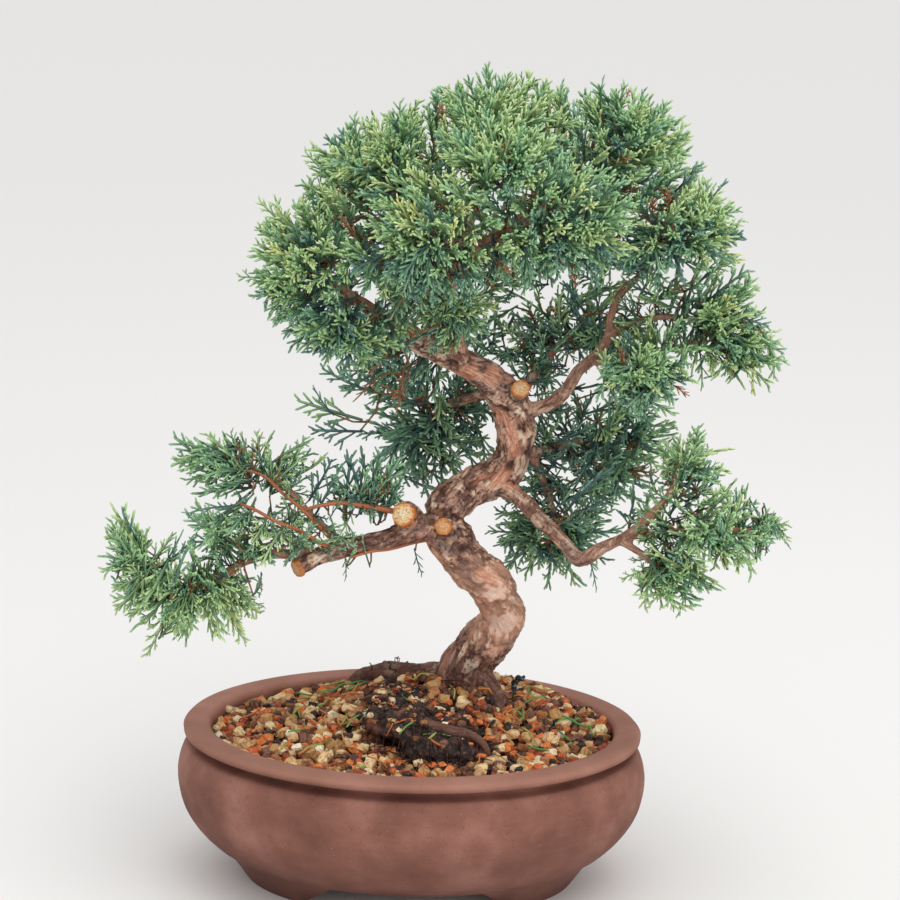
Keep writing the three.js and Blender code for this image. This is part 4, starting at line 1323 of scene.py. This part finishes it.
# Dark mat of fine roots and peat on the grains before the trunk
rootMat = {
    "balls": [(2, -16, 74.5, 24, 19.5, 5.6), (13.5, -32, 69.5, 19, 13.5, 7), (-4, 5, 77, 16, 13, 4.6)],
    "voxel": 1.1,
    "relief": ((0.55, 6.0), (0.75, 2.7), 1.7),  # lumps and crumbs, height and size; strands, height
    "strand": (2.2, 6, 3),  # width, length and thickness in mm
    "fibres": 460,
    "fibreLengths": (4, 15),
    "fibreLifts": (0.3, 2.2),
    "rootlets": 10,
    "crumbs": (170, 40, 200),  # on each ball
    "crumbSizes": (1.5, 4.4),
    "crumbField": 0.95,  # of a ball
    "drift": (-0.5, 0.2),  # crumbs fall where the drift is over a chance value between these
    "crumbTones": {"pumice": 0.15, "cream": 0.06, "red clay": 0.24, "brown clay": 0.37, "black": 0.18},
}
litter = {
    "field": ((-80, 82), (-62, 62)),  # in X and Y
    "count": 84,
    "lengths": (5, 15),
    "thick": 0.44,
    "curl": 0.22,
    "reach": 1.2,  # what lies this close holds a shoot up
    "tones": (0, 3, 6, 9, 10, 12, 13, 15),
}
chips = {
    "field": ((-55, 60), (-48, 10)),
    "count": 9,
    "lengths": (4, 7.5),
    "wide": 3.4,
    "thick": 1.5,
    "reach": 2.5,
    "tones": (6, 7, 7, 9),
}


# Heights of what lies in the pot so far, on a square net
class HeightMap:
    def __init__(self):
        self.cell = soil["cell"]
        long, deep = soil["mapHalf"]
        self.middle = int(long / self.cell)
        count = 2 * self.middle + 1
        self.grid = np.zeros((count, count))
        for i in range(count):
            for j in range(count):
                x, y = self.spot(i, j)
                if abs(y) < deep:
                    self.grid[i, j] = soilHeight(x, y) - soil["bedLower"]
        self.bed = self.grid.copy()

    def spot(self, i, j):
        return (i - self.middle) * self.cell, (j - self.middle) * self.cell

    def window(self, x, y, radius):
        i, j = round(x / self.cell) + self.middle, round(y / self.cell) + self.middle
        n = max(1, round(radius / self.cell))
        span = np.arange(-n, n + 1) * self.cell
        far = np.hypot(span[:, None], span[None, :]) / radius
        return self.grid[i - n:i + n + 1, j - n:j + n + 1], far

    # Height at which a flattened ball comes to rest, and the map raised by it
    def rest(self, x, y, radius, high, sink, limit):
        net, far = self.window(x, y, radius)
        inside = far < 1
        dome = np.where(inside, high * np.sqrt(1 - np.minimum(far, 1) ** 2), 0)
        z = float(np.percentile((net + dome)[inside], 70)) - sink * high
        if z > limit:
            return None
        net[inside] = np.maximum(net[inside], (z + dome)[inside])
        return z


# The trunk base and the surface root come through the grains
def trunkClear(x, y):
    middleX, middleY, radius = soil["trunk"]
    if math.hypot(x - middleX, y - middleY) <= radius:
        return False
    return all(math.hypot(x - row[0], y - row[1]) > row[3] for row in wood["limbs"]["trunk"][2])


# Height of the root mat over a point, or None beside it
def matTop(x, y, share=0.9):
    tops = []
    for bx, by, bz, rx, ry, rz in rootMat["balls"]:
        far = ((x - bx) / rx) ** 2 + ((y - by) / ry) ** 2
        if far < share:
            tops.append(bz + rz * math.sqrt(1 - far))
    return max(tops) if tops else None


def turned(rng):
    return Matrix.Rotation(rng.uniform(0, math.tau), 4, "Z")


# A free place for a grain
def grainPlace(size, rng):
    wide, deep = soil["spread"]
    while True:
        x, y = rng.uniform(-wide, wide), rng.uniform(-deep, deep)
        if ovalLength(x, y) < soil["wall"] - 0.55 * size and trunkClear(x, y) and matTop(x, y, 0.62) is None:
            return x, y


def looseGrains(masters, ground, rng):
    names = list(soil["grades"])
    shares = [soil["grades"][name][0] for name in names]
    count, smallest, largest = soil["fine"]
    fineSink, coarseSink = soil["sink"]
    sizes = [(rng.uniform(smallest, largest), fineSink) for _ in range(count)]
    sizes += [(None, coarseSink)] * soil["coarse"]
    copies = []
    for size, sink in sizes:
        name = rng.choices(names, shares)[0]
        _, low, high, cellsOf = soil["grades"][name]
        size = size or low + (high - low) * rng.betavariate(2, 3)
        x, y = grainPlace(size, rng)
        half = soil["squat"] * size
        z = ground.rest(x, y, 0.5 * size, half, sink, soilHeight(x, y) + soil["highest"] - half)
        if z is None:
            continue
        tiltX, tiltY = (Matrix.Rotation(rng.gauss(0, soil["tilt"]), 4, axis) for axis in "XY")
        matrix = Matrix.Translation((x, y, z)) @ (tiltX @ tiltY) @ turned(rng) @ Matrix.Scale(size, 4)
        copies.append(setCopy(rng.choice(masters), matrix, rng.choice(cellsOf)))
    return copies


# Crumbs that stick on the root mat, in drifts
def matCrumbs(masters, rng):
    names, shares = zip(*rootMat["crumbTones"].items())
    field = rootMat["crumbField"]
    copies = []
    for (x, y, _, rx, ry, _), count in zip(rootMat["balls"], rootMat["crumbs"]):
        for _ in range(count):
            spot = (x + rng.uniform(-field, field) * rx, y + rng.uniform(-field, field) * ry)
            top = matTop(*spot)
            drift = noise.noise(Vector((*spot, 0)) / 9)
            if top is None or not trunkClear(*spot) or drift < rng.uniform(*rootMat["drift"]):
                continue
            size = rng.uniform(*rootMat["crumbSizes"])
            base = Vector((*spot, top - 0.1 * size))
            way = Vector((rng.gauss(0, 0.3), rng.gauss(0, 0.3), 1))
            matrix = aimed(base, way, rng.uniform(0, math.tau), size)
            cellsOf = soil["grades"][rng.choices(names, shares)[0]][3]
            copies.append(setCopy(rng.choice(masters), matrix, rng.choice(cellsOf)))
    return copies


# Flat orange chips of bark that lie on top
def barkChips(masters, ground, rng):
    copies = []
    for _ in range(chips["count"]):
        x, y = (rng.uniform(*ends) for ends in chips["field"])
        net, _ = ground.window(x, y, chips["reach"])
        top = max(float(net.max()), matTop(x, y) or 0)
        turn = turned(rng) @ Matrix.Rotation(rng.gauss(0, 0.3), 4, "X")
        shape = Matrix.Diagonal((rng.uniform(*chips["lengths"]), chips["wide"], chips["thick"], 1))
        matrix = Matrix.Translation((x, y, top + 0.4)) @ turn @ shape
        copies.append(setCopy(rng.choice(masters), matrix, rng.choice(chips["tones"])))
    return copies


def dropGrains(rng):
    ground = HeightMap()
    masters = [grainMaster(rng) for _ in range(soil["masters"])]
    copies = looseGrains(masters, ground, rng)
    copies += matCrumbs(masters, rng)
    copies += barkChips(masters, ground, rng)
    lift = (ground.grid - ground.bed)[ground.bed > 0].mean() - soil["bedLower"]
    print("grains stand", round(float(lift), 2), "mm over the soil line")
    for i in range(ground.grid.shape[0]):
        for j in range(ground.grid.shape[1]):
            ground.grid[i, j] = max(ground.grid[i, j], matTop(*ground.spot(i, j)) or 0)
    return joinCopies(copies, "grains"), ground


# Tan pumice, cream grit, fired red and brown clay, and black lava: matt, porous, damp in places
def mixedGrains():
    material, tree, surface = newMaterial("mixed mineral grains", 0.85, 0.25)
    paint, across, _ = paletteParts(tree)
    palette = ["#deb27c", "#ecc692", "#c4965f", "#f6dcac", "#fdeeca", "#f0d29c", "#d26c3e", "#e48448",
               "#a85234", "#b47850", "#8d5836", "#65402f", "#875a4c", "#423230", "#2c2424", "#553e37"]
    tone = rampOf(tree, across, [(k / cells, hue) for k, hue in enumerate(palette)], "CONSTANT")
    # Pores and specks, about eight across a grain of 4 mm
    spread = addNode(tree, "ShaderNodeMapping", {"Vector": paint, "Scale": (16, 1.2, 1)})
    pores = noiseOf(tree, spread, 7.0, 3.0)
    tone = mixOf(tree, rampOf(tree, pores, [(0.34, 0.5), (0.5, 0.0)]), tone, "#3d2a22")
    tone = mixOf(tree, rampOf(tree, pores, [(0.54, 0.0), (0.72, 0.25)]), tone, "#e6d8bf")
    setInput(tree, surface, "Base Color", tone)
    return material


# Fine dark bed under the grains: peat and grit dust
def bedSoil():
    material, tree, surface = newMaterial("fine peat and grit", 0.95, 0.15)
    crumbs = noiseOf(tree, objectPlace(tree), 1 / (1.6 * mm), 3.0)
    tone = rampOf(tree, crumbs, [(0.35, "#1f1512"), (0.52, "#38261e"), (0.68, "#5f4434")])
    setInput(tree, surface, "Base Color", tone)
    setInput(tree, surface, "Normal", bumpOf(tree, crumbs, 0.8, 1.0))
    return material


def matMesh():
    balls = []
    for x, y, z, rx, ry, rz in rootMat["balls"]:
        bm = bmesh.new()
        place = Matrix.Translation((x, y, z)) @ Matrix.Diagonal((rx * 0.96, ry * 0.96, rz, 1))
        bmesh.ops.create_icosphere(bm, subdivisions=4, radius=1, matrix=place)
        balls.append(toMesh(bm, "clump"))
    remesh = {"mode": "VOXEL", "voxel_size": rootMat["voxel"]}
    mesh = throughModifiers(joinCopies(balls, "mat"), ("REMESH", remesh))
    bm = bmesh.new()
    bm.from_mesh(mesh)
    lumps, crumbs, strandHigh = rootMat["relief"]
    for vert in bm.verts:
        bend = noise.noise_vector(vert.co / 9) * 1.2
        place = Vector([value / size for value, size in zip(vert.co, rootMat["strand"])])
        strand = abs(noise.noise(place + bend))
        rise = strandHigh * (0.4 - strand)
        rise += sum(high * 3 * noise.noise(vert.co / size) for high, size in (lumps, crumbs))
        vert.co += vert.normal * rise
    return toMesh(bm, "mat")


def onGround(x, y):
    return matTop(x, y) or soilHeight(x, y)


# Fibres: thin roots that rise from the mat or the soil and curl back
def fibreMesh(rng):
    copies = []
    for k in range(rootMat["fibres"]):
        x, y, _, rx, ry, _ = rng.choice(rootMat["balls"])
        angle, share = rng.uniform(0, math.tau), math.sqrt(rng.uniform(0, 0.95))
        x, y = x + rx * share * math.cos(angle), y + ry * share * math.sin(angle)
        top = onGround(x, y)
        stray = Vector((rng.uniform(-1, 1), rng.uniform(-1, 1), 0))
        aim = Vector((math.cos(angle), math.sin(angle), 0)).lerp(stray, 0.6)
        length = rng.uniform(*rootMat["fibreLengths"])
        lift = rng.uniform(*rootMat["fibreLifts"])
        line = []
        for j in range(5):
            t = j / 4
            spot = Vector((x, y, 0)) + aim * length * t + noise.noise_vector(Vector((k, t * 1.7, 0))) * 2.2
            level = min(onGround(spot.x, spot.y), top + 1)
            high = level + lift * math.sin(math.pi * t) - 0.5 + 0.8 * t
            line.append([spot.x, spot.y, high, 0.4 - 0.22 * t, t])
        copies.append(limbMesh(line, 3))
    # Dry rootlets that stand up from the surface root
    for k in range(rootMat["rootlets"]):
        start = Vector((rng.uniform(-20, 2), rng.uniform(26, 34), 83))
        heading = rng.uniform(0, math.tau)
        reach = Vector((math.cos(heading), 0.6 * math.sin(heading), 0)) * rng.uniform(3, 8)
        high = rng.uniform(1.5, 5)
        line = []
        for t in (0, 0.2, 0.4, 0.6, 0.8, 1):
            curl = noise.noise_vector(Vector((k, 2.2 * t, 4))) * 5 * t
            spot = start + reach * t + curl + Vector((0, 0, high * math.sin(2.4 * t)))
            line.append([*spot, 0.4 - 0.2 * t, t])
        copies.append(limbMesh(line, 4))
    return joinCopies(copies, "fibres")


# Wet peat and root fibre: nearly black, reddish in clouds of 10 mm
def peatFibre():
    material, tree, surface = newMaterial("peat and root fibre", 0.62, 0.4)
    place = objectPlace(tree)
    strands = addNode(tree, "ShaderNodeMapping", {"Vector": place, "Scale": (1, 0.35, 1)})
    mesh = noiseOf(tree, strands, 1 / (1.5 * mm), 4.0)
    tone = rampOf(tree, mesh, [(0.36, "#1f1614"), (0.52, "#35231e"), (0.64, "#563a30"), (0.74, "#7d5a47")])
    cloud = noiseOf(tree, place, 1 / (10 * mm), 2.0)
    tone = mixOf(tree, rampOf(tree, cloud, [(0.52, 0.0), (0.66, 0.55)]), tone, "#6a3a31")
    setInput(tree, surface, "Base Color", tone)
    setInput(tree, surface, "Normal", bumpOf(tree, mesh, 0.9, 0.9))
    return material


# Fallen shoots and needles, green and orange, lying on the grains
def litterMesh(ground, rng):
    copies = []
    while len(copies) < litter["count"]:
        x, y = (rng.uniform(*ends) for ends in litter["field"])
        length = rng.uniform(*litter["lengths"])
        if ovalLength(x, y) > soil["wall"] - length or not trunkClear(x, y):
            continue
        heading, curl = rng.uniform(0, math.tau), rng.uniform(-1, 1) * litter["curl"]
        spots = []
        for j in range(5):
            t = j / 4 - 0.5
            turn = heading + curl * t * 2
            spots.append((x + length * t * math.cos(turn), y + length * t * math.sin(turn)))
        net = [float(ground.window(*spot, litter["reach"])[0].max()) for spot in spots]
        level = sorted(net)[-2]
        thick = litter["thick"] * rng.uniform(0.8, 1.25)
        line = []
        for j, (spot, high) in enumerate(zip(spots, net)):
            radius = thick * (0.7 if j in (0, 4) else 1)
            line.append([*spot, 0.5 * level + 0.5 * high + 0.3, radius, 0.1 + 0.2 * j])
        bm = bmesh.new()
        layers = newLayers(bm)
        drawOut(bm, line, 4, False, layers)
        layOut(bm, layers)
        mesh = toMesh(bm, "needle")
        copies.append(setCopy(mesh, Matrix.Identity(4), rng.choice(litter["tones"])))
        bpy.data.meshes.remove(mesh)
    return joinCopies(copies, "litter")


# Shoots off the tree: green while fresh, orange-brown once dry, a little dull at one end
def fallenShoots():
    material, tree, surface = newMaterial("fallen juniper shoots", 0.6, 0.3)
    _, across, upward = paletteParts(tree)
    tone = rampOf(tree, across, [(0.05, "#5f9a52"), (0.4, "#7fb060"), (0.58, "#a5b45e"), (0.64, "#d0904e"),
                                 (0.85, "#c9743c"), (0.97, "#a0593a")])
    fade = rampOf(tree, upward, [(0.1, 0.25), (0.5, 0.0)])
    setInput(tree, surface, "Base Color", mixOf(tree, fade, tone, "#6b5233"))
    return material


rngSoil = random.Random(19)
finishPiece("soil_bed", bedMesh(), bedSoil(), ["soil"])
grains, ground = dropGrains(rngSoil)
print("grains dropped:", len(grains.polygons), "faces")
finishPiece("soil_grains", grains, mixedGrains(), smooth=False)
peat = peatFibre()
finishPiece("root_mat_clump", matMesh(), peat, ["root_mat"])
finishPiece("root_fibres", fibreMesh(rngSoil), peat)
finishPiece("fallen_shoots", litterMesh(ground, rngSoil), fallenShoots())
print("root mat and fallen shoots laid")


# Tie wire: under the pot, up through both drain holes, its ends twisted beside the trunk
tieWire = {
    "radius": 0.75,
    "step": 1.6,  # between rings, and in the twist
    "twistStep": 0.5,
    "under": [[46.5, 11.2, 70], [43.5, 7, 44], [38, 5, 24], [38, 5, 15.5], [33, 5, 11.3], [0, 5, 11.3],
              [-33, 5, 11.3], [-38, 5, 15.5], [-38, 5, 24], [-29, 12, 44.5], [-11, 14, 60]],
    "twist": [[46.5, 11.2, 69], [45, 11.6, 78], [43.6, 12, 83], [45.6, 11.2, 86.6], [47.8, 10.4, 86.8]],
    "coil": (0.85, 0.95),  # radius of the twist in mm, turn in radians a millimetre
}


def tieWireMesh():
    radius = tieWire["radius"]
    run, twist = ([[*row, radius] for row in tieWire[name]] for name in ("under", "twist"))
    parts = [limbMesh(smoothLine(run, tieWire["step"]), 8)]
    line = smoothLine(twist, tieWire["twistStep"])
    reach, turn = tieWire["coil"]
    for start in (0, math.pi):
        strand = []
        along = 0
        for k, (row, place) in enumerate(zip(line, travel(line))):
            along += np.linalg.norm(row[:3] - line[k - 1][:3]) if k else 0
            angle = start + turn * along
            side = place.to_3x3() @ Vector((math.cos(angle) * reach, math.sin(angle) * reach, 0))
            strand.append([row[0] + side.x, row[1] + side.y, row[2] + side.z, radius])
        parts.append(limbMesh(strand, 7))
    return joinCopies(parts, "tie wire")


# A material whose tone wanders between two colours; size is that of its clouds in mm
def cloudyMaterial(name, roughness, size, detail, stops):
    material, tree, surface = newMaterial(name, roughness)
    cloud = noiseOf(tree, objectPlace(tree), 1 / (size * mm), detail)
    setInput(tree, surface, "Base Color", rampOf(tree, cloud, stops))
    return material, surface


# Annealed aluminium wire, coloured nearly black: half-gloss, rubbed brighter in places
wireTones = [(0.4, "#2a2f37"), (0.68, "#6d7684")]
wire, wireSurface = cloudyMaterial("black annealed wire", 0.42, 1.8, 2.0, wireTones)
wireSurface.inputs["Metallic"].default_value = 0.75
# Moulded polythene mesh: black, dull, dusty in clouds
nettingTones = [(0.4, "#1c1d1e"), (0.7, "#4a443c")]
netting, _ = cloudyMaterial("black polythene mesh", 0.5, 3, 3.0, nettingTones)
finishPiece("tie_wire", tieWireMesh(), wire, ["anchor_wire"])
for side in ("left", "right"):
    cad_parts["screen_clip_" + side].data.materials[0] = wire
    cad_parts["drain_screen_" + side].data.materials[0] = netting
print("wire and screens done")


# Camera, light and floor

view = {
    "target": Vector((12.9 * mm + potMiddle.x, 0, 190.6 * mm)),
    "distance": 1.1,
    "elevation": math.radians(13.3),
    "roll": math.radians(1.6),
    "lens": 104.1,
    "sensor": 36,
    "clip": (0.05, 60),
}


def placeCamera():
    back = Vector((0, -math.cos(view["elevation"]), math.sin(view["elevation"])))
    level = Vector((1, 0, 0))
    upright = back.cross(level)
    right = level * math.cos(view["roll"]) + upright * math.sin(view["roll"])
    up = upright * math.cos(view["roll"]) - level * math.sin(view["roll"])
    place = view["target"] + back * view["distance"]
    eye = bpy.data.cameras.new("camera")
    eye.lens = view["lens"]
    eye.sensor_width = view["sensor"]
    eye.clip_start, eye.clip_end = view["clip"]
    camera = bpy.data.objects.new("camera", eye)
    camera.matrix_world = Matrix.Translation(place) @ Matrix((right, up, back)).transposed().to_4x4()
    bpy.context.scene.collection.objects.link(camera)
    bpy.context.scene.camera = camera


studio = {
    # Light tent: strength straight above, at half height and at the level
    "sky": "#f8f9fb",
    "skyStops": [(0.0, 0.0), (0.5, 0.3), (0.75, 0.62), (1.0, 1.0)],
    "skyStrength": 1.34,
    "floor": "#eceae7",
    "floorHalf": 20,  # metres
    # name: place, aim, width, watts
    "lamps": {
        "top_softbox": ((0.25, -0.45, 1.4), (0, 0, 0.2), 0.9, 4.5),
        "front_softbox": ((0.55, -1.35, 0.55), (0, 0, 0.15), 0.8, 4.5),
    },
}


def placeStudio():
    scene = bpy.context.scene
    scene.view_settings.view_transform = "Standard"
    scene.view_settings.look = "None"
    world = bpy.data.worlds.new("studio")
    scene.world = world
    world.use_nodes = True
    tree = world.node_tree
    background = tree.nodes["Background"]
    setInput(tree, background, 0, studio["sky"])
    way = addNode(tree, "ShaderNodeSeparateXYZ", {"Vector": addNode(tree, "ShaderNodeTexCoord", {})})
    height = mathOf(tree, "MULTIPLY_ADD", way.outputs[2], 0.5, 0.5)
    dome = rampOf(tree, height, studio["skyStops"])
    setInput(tree, background, 1, mathOf(tree, "MULTIPLY", dome, studio["skyStrength"]))
    for name, (place, aim, width, watts) in studio["lamps"].items():
        lamp = bpy.data.lights.new(name, "AREA")
        lamp.shape = "SQUARE"
        lamp.size = width
        lamp.energy = watts
        holder = bpy.data.objects.new(name, lamp)
        turn = (Vector(aim) - Vector(place)).to_track_quat("-Z", "Y")
        holder.matrix_world = Matrix.Translation(place) @ turn.to_matrix().to_4x4()
        scene.collection.objects.link(holder)
    bm = bmesh.new()
    bmesh.ops.create_grid(bm, x_segments=1, y_segments=1, size=studio["floorHalf"])
    mesh = toMesh(bm, "floor")
    # Painted board: even, matt and nearly white
    material, tree, surface = newMaterial("painted board", 0.8, 0.1)
    setInput(tree, surface, "Base Color", studio["floor"])
    mesh.materials.append(material)
    floor = bpy.data.objects.new("floor", mesh)
    scene.collection.objects.link(floor)


placeCamera()
placeStudio()
print("camera, studio and floor placed")
